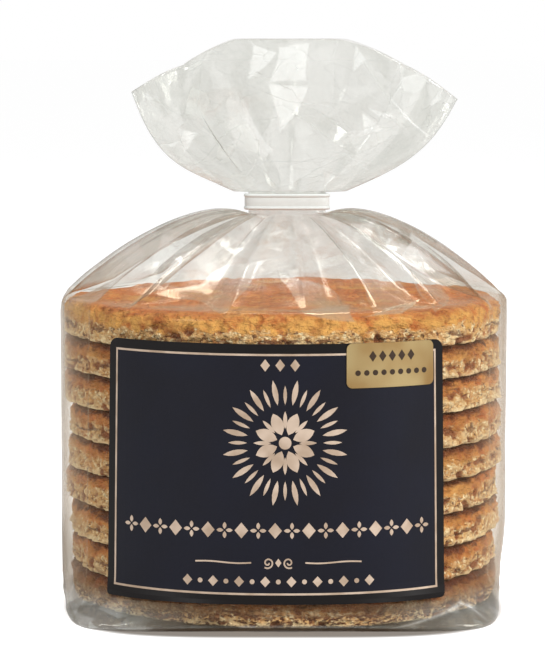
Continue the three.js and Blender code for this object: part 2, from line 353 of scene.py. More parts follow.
class WaffleSettings(bpy.types.PropertyGroup):
    count: IntProperty(name="Waffles", description="Stroopwafels in the stack", default=WAFFLE_COUNT, min=1)
    radius: length_setting("Radius", "Radius of a stroopwafel", 50.2)
    lift: length_setting("Lift", "Height of the stack above the bag's base", 0.7)
    crumb_depth: length_setting("Crumb depth", "Depth of the rim's crumbs and pores", 0.42)
    crust: colour_setting("Crust", "Baked crust", paint(194, 110, 54))
    # The toasted crust also paints shade in the crumb's grooves and on each covered waffle's upper rim.
    toasted_and_shade: colour_setting("Toasted", "Darker parts of the crust", paint(130, 62, 30))
    golden: colour_setting("Golden", "Golden edge of the crust", paint(228, 172, 92))
    # The burnt crust also paints the shade in the gaps between waffles and over the bottom waffle.
    burnt_and_shade: colour_setting("Burnt", "Crust between two waffles", paint(78, 30, 16))
    crumb: colour_setting("Crumb", "Crumb of the cut rim", paint(214, 170, 114))
    # The pale crumb also paints the light on the rim's raised lumps.
    pale_and_lit: colour_setting("Pale crumb", "Lightest crumbs", paint(252, 230, 182))
    caramel: colour_setting("Caramel", "Caramel between the wafers", paint(92, 44, 22))


class FilmSettings(bpy.types.PropertyGroup):
    crumple: length_setting("Crumple", "Depth of the film's crumpled facets", 1.5)
    haze: FloatProperty(name="Haze", description="Share of the taut film that is milky", default=0.01)
    # A slack facet's milk is partly haze and partly painted reflection.
    veil: FloatProperty(name="Veil", description="Share of a slack facet that is milky", default=0.065)
    gloss: FloatProperty(name="Gloss", description="Strength of the film's reflections", default=0.8)
    clear: colour_setting("Clear", "Light let through each face of the film", (0.937, 0.935, 0.923))
    # The sheen's colour runs to the bright tint where highlights are painted.
    tint: colour_setting("Tint", "Sheen of the brightest facets", (0.98, 1.0, 0.97))
    dull: colour_setting("Dull tint", "Sheen of the dullest facets", (0.54, 0.56, 0.51))
    # The warm tint is painted reflection of the waffles in the taut film.
    painted_waffle_reflection: colour_setting("Warm tint", "Sheen of film round the waffles", (0.58, 0.43, 0.27))
    # The dark tint paints the shade in the crumpled film at the base.
    dark: colour_setting("Dark tint", "Crumpled film at the base", (0.15, 0.11, 0.075))


class ClipSettings(bpy.types.PropertyGroup):
    thickness: length_setting("Thickness", "Thickness of the clip's band", 0.75)
    plastic: colour_setting("Plastic", "White plastic", paint(211, 214, 210))


class LabelSettings(bpy.types.PropertyGroup):
    navy: colour_setting("Navy", "Label's field", paint(17, 18, 30))
    border: colour_setting("Border", "Label's border", paint(14, 10, 10))
    foil: colour_setting("Foil", "Rose gold print", paint(204, 182, 162))
    foil_shade: colour_setting("Foil shade", "Darker rose gold", paint(172, 148, 126))
    gold: colour_setting("Gold", "Sticker", paint(172, 150, 104))
    gold_shade: colour_setting("Gold shade", "Darker parts of the sticker", paint(148, 116, 68))
    ink: colour_setting("Ink", "Sticker's dark print", paint(52, 36, 22))


class StudioSettings(bpy.types.PropertyGroup):
    focal_length: FloatProperty(name="Focal length", description="Camera lens in mm", default=148.9)
    camera_place: FloatVectorProperty(
        name="Camera",
        description="Where the camera stands",
        default=(-0.00255, -0.6358, 0.1276),
        unit="LENGTH",
    )
    camera_pitch: FloatProperty(
        name="Pitch", description="How far the camera looks down", default=math.radians(5.88), unit="ROTATION"
    )
    room_light: FloatProperty(name="Room light", description="Brightness of the room", default=0.35)
    room_shine: FloatProperty(name="Room shine", description="Brightness that gloss mirrors", default=0.7)
    backdrop: FloatProperty(name="Backdrop", description="Brightness of the backdrop", default=1.0)


# ---- Waffles ----------------------------------------------------------------------------------

WAFFLE_STEPS = 720
BOTTOM_INSET = (48.4, 24.7, 5.2)  # how far in from the rim the rings of the bottom face lie
WAFFLE_GAP = 0.12
WAFFLE_SEED = 310
TOP_EXTRA = 0.3  # the top waffle is a little wider
RADIUS_RANGE, SHIFT = (-0.6, 0.5), 0.6  # how the others differ in size and lie off the middle
# The cut rim from the bottom face to the top one: share of the thickness and inset from the radius.
RIM_LEVEL = (0.0, 0.03, 0.1, 0.3, 0.6, 0.78, 0.88, 0.95, 1.0)
RIM_INSET = (1.2, 0.5, 0.2, 0.0, 0.1, 0.3, 0.7, 1.6, 5.2)
RIM_ROWS, RIM_STRIDE = 26, 1.6  # rings over the rim, and the longest stretch that counts between two
TOP_RINGS, HIDDEN_RINGS = 84, 3
LAYERING = 1.6  # how much flatter than wide the crumbs are
# Lumps of the dough: height, size in millimetres and seed.
COARSE_CRUMB, CRUMB, FINE_CRUMB, PORE = (1.6, 3.8, 11), (1.5, 2.0, 12), (0.9, 1.1, 19), (1.0, 2.6, 13)
RAG, BROAD_WAVE, SHORT_WAVE = (1.6, 2.6, 20), (0.7, 17, 14), (0.45, 7, 15)
FACE_BUCKLE, RIM_BUCKLE, RIM_GRAIN = (0.5, 26, 16), (0.6, 7, 17), (0.4, 1.8, 18)
LUMP_OFFSET = 37.0  # lifts each waffle's lumps, so that no two are alike
CRUMB_MIDDLE, PORE_DEPTH, PORE_ONSET = 0.8, 2.4, (0.3, 0.6)
RAG_MIDDLE, RAG_REACH = 0.6, (-0.3, -0.02)  # rags hang from the lower edge
RIM_REACH, CUT_REACH = (-6.0, -1.5), (-5.0, -0.6)  # minus the insets where rim and cut fade in
BUCKLE_REACH, COVERED_BUCKLE = (-0.3, 0.6), 0.8
GRID_PITCH, GRID_DEPTH, GRID_RIDGE = 4.6, 0.3, (0.2, 1.0)
GRID_INSET = (4.0, 9.0)  # the baked grid fades in between these distances from the rim
TOP_RISE, TOP_CROWN, COVERED_CROWN, SAG = 0.8, 1.05, 0.3, 0.25
CROWN_REACH = (-50.3, -48.5)
FILM_CLEARANCE = 1.15


def waffle_rows(top_rings):
    """Level and inset of each ring from the middle of the bottom face to that of the top one."""
    reach = np.hypot(np.diff(RIM_LEVEL) * WAFFLE_PITCH, np.diff(RIM_INSET))
    travel = np.concatenate([[0], np.cumsum(np.minimum(reach, RIM_STRIDE))])
    even = np.linspace(0, travel[-1], RIM_ROWS)
    level = np.interp(even, travel, RIM_LEVEL)
    inset = np.interp(even, travel, RIM_INSET)
    top = np.linspace(RIM_INSET[-1], BOTTOM_INSET[0], top_rings + 1)[1:]
    levels = np.concatenate([np.zeros(len(BOTTOM_INSET)), level, np.ones(top_rings)])
    return levels, np.concatenate([BOTTOM_INSET, inset, top])


def waffle_piece(index, settings, finish, is_top):
    rng = np.random.default_rng(WAFFLE_SEED + index)
    spacing = (STACK_TOP - settings.lift / MM) / settings.count
    thickness = spacing - WAFFLE_GAP
    radius = settings.radius / MM + (TOP_EXTRA if is_top else rng.uniform(*RADIUS_RANGE))
    centre = np.zeros(2) if is_top else rng.uniform(-SHIFT, SHIFT, 2)
    bottom = settings.lift / MM + index * spacing
    levels, insets = waffle_rows(TOP_RINGS if is_top else HIDDEN_RINGS)
    angle = np.linspace(0, TURN, WAFFLE_STEPS, endpoint=False)
    level = levels[:, None] + 0 * angle
    reach = radius - insets[:, None] + 0 * angle
    plain = points_of(reach * np.sin(angle), -reach * np.cos(angle), bottom + level * thickness)
    offset = (0, 0, LUMP_OFFSET * index)

    def lumps(height, size, seed):
        return height * lattice_noise((plain + offset) * (1, 1, LAYERING), size, seed)

    on_rim = smoothstep(-insets, *RIM_REACH)[:, None]
    crumbs = np.abs(lumps(*COARSE_CRUMB)) + np.abs(lumps(*CRUMB)) + lumps(*FINE_CRUMB)
    relief = crumbs - CRUMB_MIDDLE - PORE_DEPTH * smoothstep(lumps(*PORE), *PORE_ONSET)
    ragged = smoothstep(-level, *RAG_REACH) * (RAG_MIDDLE + lumps(*RAG))
    waves = lumps(*BROAD_WAVE) + lumps(*SHORT_WAVE)
    reach = reach + on_rim * (waves + settings.crumb_depth / MM * (relief + ragged))
    buckle = lumps(*FACE_BUCKLE) + on_rim * (lumps(*RIM_BUCKLE) + lumps(*RIM_GRAIN))
    buckle = buckle * (1 if is_top else COVERED_BUCKLE)
    height = plain[..., 2] + buckle * smoothstep(level, *BUCKLE_REACH)
    x = centre[0] + reach * np.sin(angle)
    y = centre[1] - reach * np.cos(angle)
    crown = COVERED_CROWN
    if is_top:
        ridge = np.maximum(np.cos(TURN * x / GRID_PITCH), np.cos(TURN * y / GRID_PITCH))
        face = smoothstep(insets, *GRID_INSET)[:, None]
        height = height + GRID_DEPTH * face * (smoothstep(ridge, *GRID_RIDGE) - 0.5)
        height = height + TOP_RISE * smoothstep(level, 0.5, 1)
        crown = TOP_CROWN * smoothstep(-np.hypot(x, y), *CROWN_REACH)
    height = np.clip(height, bottom - SAG * (index > 0), bottom + thickness + crown)
    bearing = np.arctan2(x, -y)
    room = wall_radius(bearing, height) - FILM_CLEARANCE - base_fold(height) - side_tuck(bearing, height)
    inwards = np.minimum(1, room / np.maximum(np.hypot(x, y), 1e-6))
    grid = points_of(x * inwards, y * inwards, height)
    rows = len(levels)
    faces = ring_faces(rows, WAFFLE_STEPS)
    faces.append(tuple(range(WAFFLE_STEPS))[::-1])
    faces.append(tuple((rows - 1) * WAFFLE_STEPS + column for column in range(WAFFLE_STEPS)))
    attributes = {
        "level": level.ravel(),
        "rim": (smoothstep(-insets, *CUT_REACH)[:, None] + 0 * angle).ravel(),
        "relief": relief.ravel(),
        "tone": np.full(level.size, rng.uniform(0, 1)),
        "covered": np.full(level.size, 0.0 if is_top else 1.0),
        "base": np.full(level.size, 1.0 if index == 0 else 0.0),
    }
    name = f"waffle_{index + 1}"
    return new_piece(name, grid.reshape(-1, 3), faces, finish, ["bag"], attributes)


def waffle_finish(settings):
    finish = Finish("baked waffle", Roughness=0.66, Specular_IOR_Level=0.3)
    names = ("level", "rim", "relief", "tone", "covered", "base")
    level, rim, relief, tone, covered, base = (finish.attribute(name) for name in names)
    layered = finish.move("MULTIPLY", finish.place, (1.0, 1.0, 1.9))
    broad, patch = finish.noise(22, 2), finish.noise(8, 3)
    mottle, fine = finish.noise(3.0, 3, layered), finish.noise(1.0, 3, layered)
    wobble = (broad - 0.5) * 0.3 + (patch - 0.5) * 0.5 + (mottle - 0.5) * 0.45 + (fine - 0.5) * 0.3
    height = level + wobble

    def layers(colour, *rows):
        """Colours laid over one another, each where a value passes from low to high."""
        for value, low, high, share, over in rows:
            passed = finish.step(value, low, high) if low < high else 1 - finish.step(value, high, low)
            colour = finish.blend(passed * share, colour, over)
        return colour

    crust = layers(
        settings.crust,
        (broad * 0.5 + patch * 0.5, 0.46, 0.66, 0.7, settings.toasted_and_shade),
        (finish.noise(11, 3), 0.48, 0.72, 0.55, settings.golden),
        (mottle, 0.5, 0.7, 0.45, settings.toasted_and_shade),
        (fine, 0.5, 0.66, 0.3, settings.golden),
    )
    crumb = layers(
        settings.crumb,
        (mottle, 0.38, 0.66, 0.4, settings.golden),
        (fine * 0.55 + mottle * 0.45, 0.5, 0.62, 0.6, settings.toasted_and_shade),
        (patch, 0.52, 0.66, 0.4, settings.crust),
        (finish.noise(0.9, 2), 0.54, 0.64, 0.85, settings.pale_and_lit),
        (finish.noise(1.3, 2), 0.6, 0.68, 0.8, settings.burnt_and_shade),
        (height, 0.22, 0.02, 0.5, settings.pale_and_lit),
        # Painted light and shade from the rim's relief: paler on raised lumps, darker in grooves and pores.
        (relief, 0.3, 1.3, 0.4, settings.pale_and_lit),
        (relief, -0.1, -1.4, 0.85, settings.toasted_and_shade),
    )
    golden = rim * finish.step(height, 0.5, 0.62) * (1 - finish.step(height, 0.74, 1.05))
    golden = golden * finish.step(finish.noise(3.5, 3), 0.3, 0.6) * (0.85 - covered * 0.5)
    seam = level + (broad - 0.5) * 0.35 + wobble * 0.5
    caramel = rim * finish.step(seam, 0.3, 0.35) * (1 - finish.step(seam, 0.38, 0.44))
    caramel = caramel * finish.step(finish.noise(9, 2), 0.5, 0.6)
    pores = finish.step(fine * 0.7 + mottle * 0.3, 0.48, 0.56) * (1 - finish.step(height, 0.3, 0.5))
    colour = finish.blend(rim * (1 - finish.step(height, 0.5, 0.64)), crust, crumb)
    for share, over in (
        (golden, settings.golden),
        (caramel * 0.8, settings.caramel),
        # Painted shade: each covered waffle's upper rim darkens, most in the gap under the waffle above.
        (covered * rim * finish.step(height, 0.6, 0.95) * 0.5, settings.toasted_and_shade),
        (covered * rim * finish.step(level + wobble * 0.6, 0.74, 0.94) * 0.95, settings.burnt_and_shade),
        (covered * finish.step(tone, 0.0, 1.6) * 0.2, settings.toasted_and_shade),
        # Painted shade: the bottom waffle darkens above its lowest band.
        (base * finish.step(height, 0.15, 0.4) * 0.55, settings.burnt_and_shade),
        (base * rim * pores * 0.85, settings.burnt_and_shade),
    ):
        colour = finish.blend(share, colour, over)
    lumps = finish.bump(finish.noise(1.5, 3), 1.2, finish.bump(fine, 0.8))
    finish.set(**{"Base Color": colour, "Roughness": 0.7 - caramel * 0.35, "Normal": lumps})
    return finish.material


class WAFFLEBAG_OT_waffles(bpy.types.Operator):
    """Bake the stack of stroopwafels"""

    bl_idname = "wafflebag.waffles"
    bl_label = "Waffles"

    def execute(self, context):
        settings = context.scene.waffle_settings
        finish = waffle_finish(settings)
        for index in range(settings.count):
            waffle_piece(index, settings, finish, index == settings.count - 1)
        return {"FINISHED"}


# ---- The bag's wall, shoulders, neck and fanned mouth -----------------------------------------


def body_section(z):
    """Half sizes and superellipse exponent of the bag's level section at height z."""
    folded = np.exp(-((z / BASE_FADE) ** 2))
    exponent = mix(mix(ROUNDNESS_LOW, ROUNDNESS_HIGH, z / STACK_TOP), BASE_ROUNDNESS, folded)
    return BAG_HALF_WIDTH - BASE_DRAW_SIDE * folded, BAG_HALF_DEPTH - BASE_DRAW_FRONT * folded, exponent


def wall_radius(angle, z):
    half_width, half_depth, exponent = body_section(z)
    across = np.abs(np.sin(angle) / half_width) ** exponent
    along = np.abs(np.cos(angle) / half_depth) ** exponent
    return (across + along) ** (-1 / exponent)


def wall_point(angle, z, offset=0.0):
    """A point on the bag's wall, moved out by offset along its level normal."""
    half_width, half_depth, exponent = body_section(z)
    radius = wall_radius(angle, z)
    x, y = radius * np.sin(angle), -radius * np.cos(angle)
    normal_x = signed_power(x / half_width, exponent - 1) / half_width
    normal_y = signed_power(y / half_depth, exponent - 1) / half_depth
    reach = offset / np.hypot(normal_x, normal_y)
    return points_of(x + normal_x * reach, y + normal_y * reach, z)


def base_fold(z):
    """How far the rounded fold between base and wall draws the film in."""
    below = np.clip(BASE_EDGE - z, 0, BASE_EDGE)
    return BASE_EDGE - np.sqrt(BASE_EDGE**2 - below**2)


def side_tuck(angle, z):
    """How far the film is pulled in low down on the right."""
    away = (z - TUCK_HEIGHT) / np.where(z > TUCK_HEIGHT, TUCK_ABOVE, TUCK_BELOW)
    return TUCK_DEPTH * np.exp(-(away**2)) * smoothstep(np.sin(angle), *TUCK_SIDE)


def back_dips(angle, z):
    dip = 0.5 + 0.5 * np.cos(TURN * z / WAFFLE_PITCH)
    hug = smoothstep(-np.cos(angle), *(-math.cos(math.radians(edge)) for edge in (HUG_FROM, HUG_TO)))
    fade = 1 - smoothstep(z, STACK_TOP - HUG_FADE, STACK_TOP)
    return HUG_DEPTH * dip * hug * smoothstep(z, BASE_EDGE, BASE_EDGE + HUG_FADE) * fade


def fold_columns():
    """For each column of film its angle, how far it lies in the fold between two creases (0 to 1)
    and how milky its side of the fold is, the milk being partly painted reflection."""
    rng = np.random.default_rng(PANEL_SEED)
    angles, folds, panels = [], [], []
    for i, (crease, following) in enumerate(itertools.pairwise((*CREASES, CREASES[0] + 360))):
        depth = mix(FOLD_LEAST, FOLD_MOST, 0.5 + 0.5 * math.sin(FOLD_TURN * i))
        deepest = 0.5 + FOLD_LEAN * math.sin(FOLD_LEAN_TURN * i + 1)
        sides = rng.uniform(0, 1, 2) ** 2
        for step in range(COLUMNS_PER_FOLD):
            share = step / COLUMNS_PER_FOLD
            angles.append(mix(crease, following, share))
            folds.append(depth * min(share / deepest, (1 - share) / (1 - deepest)))
            panels.append(sides[0] if share < deepest else sides[1])
    return np.radians(angles), np.array(folds), np.array(panels)


def oval_point(angle, half_width, half_depth, z):
    x = CLIP_CENTRE_X + half_width * signed_power(np.sin(angle), OVAL_ACROSS)
    return points_of(x, -half_depth * signed_power(np.cos(angle), OVAL_ALONG), z)


def neck_point(angle, fold, z):
    return oval_point(angle, NECK_HALF_WIDTH, NECK_HALF_DEPTH * (1 - NECK_PLEAT * fold), z)


# Film in the deepest part of a fold wraps over the top waffle's edge, lies on it and then rises
# straight to the neck.
VALLEY_SHARE = (0.0, 0.06, 0.36, 1.0)
VALLEY_INWARDS = (0.02, 0.055, 0.33, 1.0)
VALLEY_HEIGHT = (STACK_TOP, STACK_TOP + 1.6, STACK_TOP + 2.3, NECK_BOTTOM)
VALLEY_WIDTH = 0.7
WRAP_HEIGHT = 4.0
# The shoulders' curves at the front and at the sides: rise over the rim, spread round the neck and
# how much lower or higher than the neck they arrive.
SHOULDER_RISE, SHOULDER_SPREAD, SHOULDER_LIFT = (3.6, 3.4), (12.0, 14.0), (-3.2, 7.6)


def edge_wrap(fold, z):
    """How far film in a fold is drawn in where it wraps over the top waffle's edge."""
    rise = np.clip((z - STACK_TOP + WRAP_HEIGHT) / WRAP_HEIGHT, 0, 1)
    return fold**VALLEY_WIDTH * VALLEY_INWARDS[0] * BAG_HALF_DEPTH * (1 - np.sqrt(1 - rise**2))


def shoulder_point(angle, fold, share):
    """The film's way from the top waffle's rim, share 0, up to the neck, share 1."""
    rim, neck = wall_point(angle, STACK_TOP), neck_point(angle, fold, NECK_BOTTOM)
    sideways = np.sin(angle) ** 2
    rise, spread, lift = (mix(*ends, sideways) for ends in (SHOULDER_RISE, SHOULDER_SPREAD, SHOULDER_LIFT))
    x = cubic(rim[..., 0], rim[..., 0], neck[..., 0] + np.sin(angle) * spread, neck[..., 0], share)
    y = cubic(rim[..., 1], rim[..., 1], neck[..., 1] - np.cos(angle) * spread, neck[..., 1], share)
    z = cubic(STACK_TOP, STACK_TOP + rise, NECK_BOTTOM + lift, NECK_BOTTOM, share)
    inwards = np.interp(share, VALLEY_SHARE, VALLEY_INWARDS)
    valley = mix(rim, neck, inwards)
    valley[..., 2] = np.interp(share, VALLEY_SHARE, VALLEY_HEIGHT)
    return mix(points_of(x, y, z), valley, fold[:, None] ** VALLEY_WIDTH)


def fan_point(angle, fold, share):
    """A point of the fanned mouth, from share 0 at the clip to 1 at the cut edge."""
    across = np.sin(angle)
    start, belly, end = np.where(across[:, None] < 0, FAN_LEFT, FAN_RIGHT).T
    spread = np.radians(mix(start, end, share) + belly * math.sin(math.pi * share**FAN_BELLY_PLACE))
    lean = across * spread
    mouth = np.interp(across, np.linspace(-1, 1, len(MOUTH_LENGTH)), MOUTH_LENGTH)
    length = mix(FAN_PIVOT / np.cos(lean), mouth, share)
    depth = mix(NECK_HALF_DEPTH, MOUTH_HALF_DEPTH, share)
    pleat = mix(NECK_PLEAT, MOUTH_RUFFLE, share) + FAN_PLEAT * math.sin(math.pi * share) * (1 - share) ** 3
    ruffle = 1 - pleat * fold * (1 - smoothstep(np.abs(across), *PLEAT_END))
    y = -depth * ruffle * signed_power(np.cos(angle), mix(OVAL_ALONG, 1, share))
    x = CLIP_CENTRE_X + length * np.sin(lean)
    return points_of(x, y, NECK_TOP - FAN_PIVOT + length * np.cos(lean))


BASE_RINGS = (0.1, 0.45, 0.75, 0.93)
EDGE_HEIGHTS = (0.0, 0.08, 0.3, 0.7, 1.2, 2.0)
WRAP_ROWS, WALL_ROWS, SHOULDER_ROWS, NECK_ROWS, FAN_ROWS = 7, 30, 54, 5, 54
FAN_ROW_SPACING = 1.3
LOWEST, MOUTH_TOP = 0.02, 129.9  # dents keep the film between these heights
FACET_SEED, FAN_SEED = 21, 31
DENTS = ((0.62, (17, 24), 0), (0.28, (8, 12), 1), (0.1, (4, 6), 2))  # share, facet's size, seed
FAN_STRETCH = np.array([2.0, 0.8])  # the mouth's facets are wider and lower
FILM_FACETS = ((13.0, 0.30), (4.5, 0.14), (1.9, 0.08))  # size in millimetres and slope of the small facets
WALL_CREASES = (-77, -56, 62, 80)  # upright creases where the film goes round to the sides
LABEL_REACH = math.radians(62)  # the film lies smooth under the label, within this angle
FOOT_FADE, EAR_FADE = (0.7, 2.0), (3, 10)  # heights where the base's crumpled foot and corners end
FOOT_DIP, EAR_SHARE = 0.4, 0.6  # the foot is less crumpled in the corners, where the ears take over
SMOOTH_FROM = (4, 9)
TAUT_CRUMPLE, LOOSE_CRUMPLE, LABELLED_CRUMPLE = 0.25, 1.3, 0.08
TAUT_SLACK, BASE_SLACK, SHOULDER_SLACK = 0.1, 0.3, (0.05, 0.55)
LIFT_OFF = (STACK_TOP + 1.2, STACK_TOP + 3)  # heights where film leaves the top waffle
RIM_CRUMPLE, NECK_CRUMPLE, FAN_CRUMPLE = 1.5, 0.25, 3.4
SLACK_RISE = (71, 80)
CREASES_END = 0.45  # share of the fanned mouth that the ridges run up


def film_grid(angle, fold, panel):
    """Rows of film from the middle of the base to the mouth, and for each point how strongly it is
    crumpled, how slack it is, how near a sharp crease, how milky (partly painted reflection) and how much of
    an ear at the base."""
    rows, tables = [], {"strength": [], "slack": [], "crease": [], "milk_and_reflection": [], "ear": []}

    def add(points, *values):
        rows.append(points)
        for table, value in itertools.zip_longest(tables.values(), values, fillvalue=0.0):
            table.append(value * np.ones(len(angle)))

    labelled = np.exp(-((angle / LABEL_REACH) ** 8))
    ridge = (fold < 1e-9) * (0.75 + 0.25 * np.sin(5 * angle))
    valley = (fold >= np.maximum(np.roll(fold, 1), np.roll(fold, -1))) * 0.8
    degrees = np.degrees(angle)
    upright = np.isin(np.round(np.where(degrees > 180, degrees - 360, degrees)), WALL_CREASES) * 1.2
    sideways = np.sin(angle) ** 6
    corner = np.sin(2 * angle) ** 4
    for share in BASE_RINGS:
        edge = wall_point(angle, 0.0) * (share * (1 - BASE_EDGE / BAG_HALF_DEPTH))
        add(edge, 0.0, BASE_SLACK, 0.0, 0.0, 1.0)
    plain = np.linspace(BASE_EDGE, STACK_TOP - WRAP_HEIGHT, WALL_ROWS + 1)[1:]
    quarter = np.linspace(0, math.pi / 2, WRAP_ROWS + 1)[1:]
    for z in (*EDGE_HEIGHTS, *plain, *(STACK_TOP - WRAP_HEIGHT * (1 - np.sin(quarter)))):
        wall = wall_point(angle, z)
        inset = base_fold(z) + side_tuck(angle, z) + back_dips(angle, z) + edge_wrap(fold, z)
        drawn = 1 - inset / np.hypot(wall[:, 0], wall[:, 1])
        points = wall * np.stack([drawn, drawn, np.ones_like(drawn)], axis=-1)
        foot = (1 - smoothstep(z, *FOOT_FADE)) * (1 - FOOT_DIP * corner)
        ear = np.maximum(foot, (1 - smoothstep(z, *EAR_FADE)) * EAR_SHARE * corner)
        covered = labelled * smoothstep(z, *SMOOTH_FROM)
        crumple = mix(mix(TAUT_CRUMPLE, LOOSE_CRUMPLE, ear), LABELLED_CRUMPLE, covered)
        slack = mix(TAUT_SLACK, 1, ear) * (1 - 0.9 * covered)
        add(points, crumple * smoothstep(z, -1, 4), slack, upright, 0.0, ear)
    for row in range(SHOULDER_ROWS):
        share = (row + 1) / (SHOULDER_ROWS + 1)
        points = shoulder_point(angle, fold, share)
        lifted = np.maximum(smoothstep(points[:, 2], *LIFT_OFF), smoothstep(-np.cos(angle), 0, 0.4))
        crumple = mix(RIM_CRUMPLE, NECK_CRUMPLE, share) * mix(0.12, 1, lifted) * (1 - 0.7 * sideways)
        rising = np.maximum(smoothstep(points[:, 2], *SLACK_RISE), lifted * (np.cos(angle) < 0))
        add(points, crumple, mix(*SHOULDER_SLACK, rising), (ridge + valley) * lifted, panel * lifted)
    for z in np.linspace(NECK_BOTTOM, NECK_TOP, NECK_ROWS):
        add(neck_point(angle, fold, z), 0.0, 1.0, ridge)
    for row in range(FAN_ROWS):
        share = ((row + 1) / FAN_ROWS) ** FAN_ROW_SPACING
        crumple = FAN_CRUMPLE * smoothstep(share, -0.05, 0.6) * (1 - 0.85 * sideways)
        add(fan_point(angle, fold, share), crumple, 1.0, ridge * (share < CREASES_END))
    return np.array(rows), {name: np.array(table) for name, table in tables.items()}


def film_piece(settings, finish):
    angle, fold, panel = fold_columns()
    grid, tables = film_grid(angle, fold, panel)
    strength = tables.pop("strength")
    rows, columns = strength.shape
    travel = np.linalg.norm(np.diff(grid, axis=0), axis=-1).mean(axis=1)
    along = np.concatenate([[0], np.cumsum(travel)])[:, None] + np.zeros((rows, columns))
    around = (angle % TURN) / TURN * GIRTH + np.zeros((rows, columns))
    in_fan = np.arange(rows)[:, None] >= rows - FAN_ROWS
    dents, tones = 0.0, []
    for share, facet, seed in DENTS:
        body_dents, body_tone = crumpled(around, along, facet, FACET_SEED + seed)
        fan_dents, fan_tone = crumpled(around, along, facet * FAN_STRETCH, FAN_SEED + seed)
        dents = dents + share * np.where(in_fan, fan_dents, body_dents)
        tones.append(np.where(in_fan, fan_tone, body_tone))
    tables["tone"] = tones[0] ** 2
    tables["grey"] = tones[1]
    outer = grid - surface_normals(grid) * (dents * strength * settings.crumple / MM)[..., None]
    outer[..., 2] = np.clip(outer[..., 2], LOWEST, MOUTH_TOP)
    inner = outer - surface_normals(outer) * FILM_GAUGE
    inner[: len(BASE_RINGS) + 1, :, 2] = FILM_GAUGE
    faces = ring_faces(rows, columns)
    faces += [face[::-1] for face in ring_faces(rows, columns, rows * columns)]
    mouth, inner_mouth = (rows - 1) * columns, (2 * rows - 1) * columns
    for column in range(columns):
        beside = (column + 1) % columns
        faces.append((mouth + column, mouth + beside, inner_mouth + beside, inner_mouth + column))
    faces.append(tuple(range(columns))[::-1])
    faces.append(tuple(rows * columns + column for column in range(columns)))
    girth = np.linalg.norm(grid - np.roll(grid, 1, axis=1), axis=-1).sum(axis=1)[:, None] / TURN
    flow = points_of(girth * np.sin(angle), -girth * np.cos(angle), along).reshape(-1, 3)
    attributes = {"flow": np.concatenate([flow, flow]) * MM}
    for name, table in tables.items():
        attributes[name] = np.tile(table.ravel(), 2)
    points = np.concatenate([outer.reshape(-1, 3), inner.reshape(-1, 3)])
    return new_piece("film_bag", points, faces, finish, ["bag"], attributes)


# Painted highlights on the film's front that stand in for facets mirroring a lamp, as triangles in
# the front view: corners counter-clockwise in millimetres, and the share of sheen inside and along the edges.
PAINTED_GLINTS = (
    (((-2.7, 127.3), (-8.6, 129.6), (-8.7, 120.4)), 0.24, 0.08),
    (((5.1, 128.0), (-2.0, 128.2), (4.7, 119.9)), 0.3, 0.1),
    (((-2.0, 128.2), (-3.8, 119.7), (4.7, 119.9)), 0.26, 0.1),
    (((5.2, 118.1), (-3.8, 119.0), (0.4, 107.9)), 0.3, 0.1),
    (((17.3, 128.2), (16.7, 122.0), (20.4, 125.4)), 0.36, 0.1),
    (((-20.3, 108.3), (-24.5, 109.7), (-23.4, 103.9)), 0.3, 0.1),
    (((26.6, 110.9), (20.1, 113.4), (21.9, 111.6)), 0.35, 0.15),
    (((26.3, 114.8), (28.2, 111.3), (32.5, 107.8)), 0.35, 0.15),
    (((23.1, 107.9), (17.7, 112.5), (18.2, 107.9)), 0.3, 0.1),
    (((-2.2, 104.4), (-10.1, 116.0), (-5.0, 103.2)), 0.2, 0.1),
    (((-19.9, 82.6), (-27.5, 85.7), (-30.3, 78.2)), 0.14, 0.08),
    (((-27.0, 80.8), (-30.3, 77.3), (-36.5, 75.0)), 0.17, 0.08),
    (((-12.5, 83.8), (-15.9, 83.5), (-11.5, 80.6)), 0.16, 0.06),
    (((-7.0, 82.8), (-13.4, 81.5), (-10.8, 80.3)), 0.16, 0.06),
    (((-4.5, 80.3), (-27.5, 72.9), (-12.2, 71.1)), 0.16, 0.14),
    (((14.5, 72.6), (-0.9, 77.6), (4.9, 70.8)), 0.14, 0.14),
    (((16.2, 69.6), (14.3, 72.4), (4.7, 70.9)), 0.32, 0.1),
    (((29.4, 72.2), (14.3, 82.2), (20.2, 70.5)), 0.12, 0.12),
    (((25.9, 70.3), (29.7, 72.4), (20.2, 70.5)), 0.14, 0.3),
    (((36.6, 71.9), (21.4, 82.5), (34.0, 70.6)), 0.08, 0.16),
    (((-25.3, 74.2), (-21.5, 81.6), (-33.0, 72.0)), 0.1, 0.14),
    (((26.8, 85.6), (20.4, 86.9), (23.8, 82.8)), 0.14, 0.06),
    (((33.0, 79.5), (24.0, 84.5), (23.5, 79.0)), 0.2, 0.06),
    (((38.0, 76.0), (29.5, 84.5), (27.0, 79.0)), 0.2, 0.06),
    (((20.0, 88.5), (12.0, 86.0), (20.0, 81.0)), 0.14, 0.06),
)
# The same painted highlights for the folds at the base's corners.
PAINTED_BASE_GLINTS = (
    (((25.4, 2.0), (40.6, 5.2), (40.1, 5.8)), 0.25, 0.12),
    (((40.6, 5.2), (44.5, 3.0), (42.0, 5.0)), 0.25, 0.12),
    (((-44.9, 1.3), (-28.4, 1.5), (-28.4, 1.9)), 0.2, 0.12),
    (((-48.5, 6.3), (-47.0, 3.5), (-44.0, 5.2)), 0.16, 0.12),
    (((-46.0, 3.4), (-44.3, 1.0), (-41.5, 3.0)), 0.16, 0.12),
)
GLINT_EDGE, GLINT_BLUR = 0.4 * MM, (-0.1 * MM, 0.3 * MM)
WARP = 6 * MM  # how far the film's creases wander
BASE_WARP = 0.2  # share of that at the base
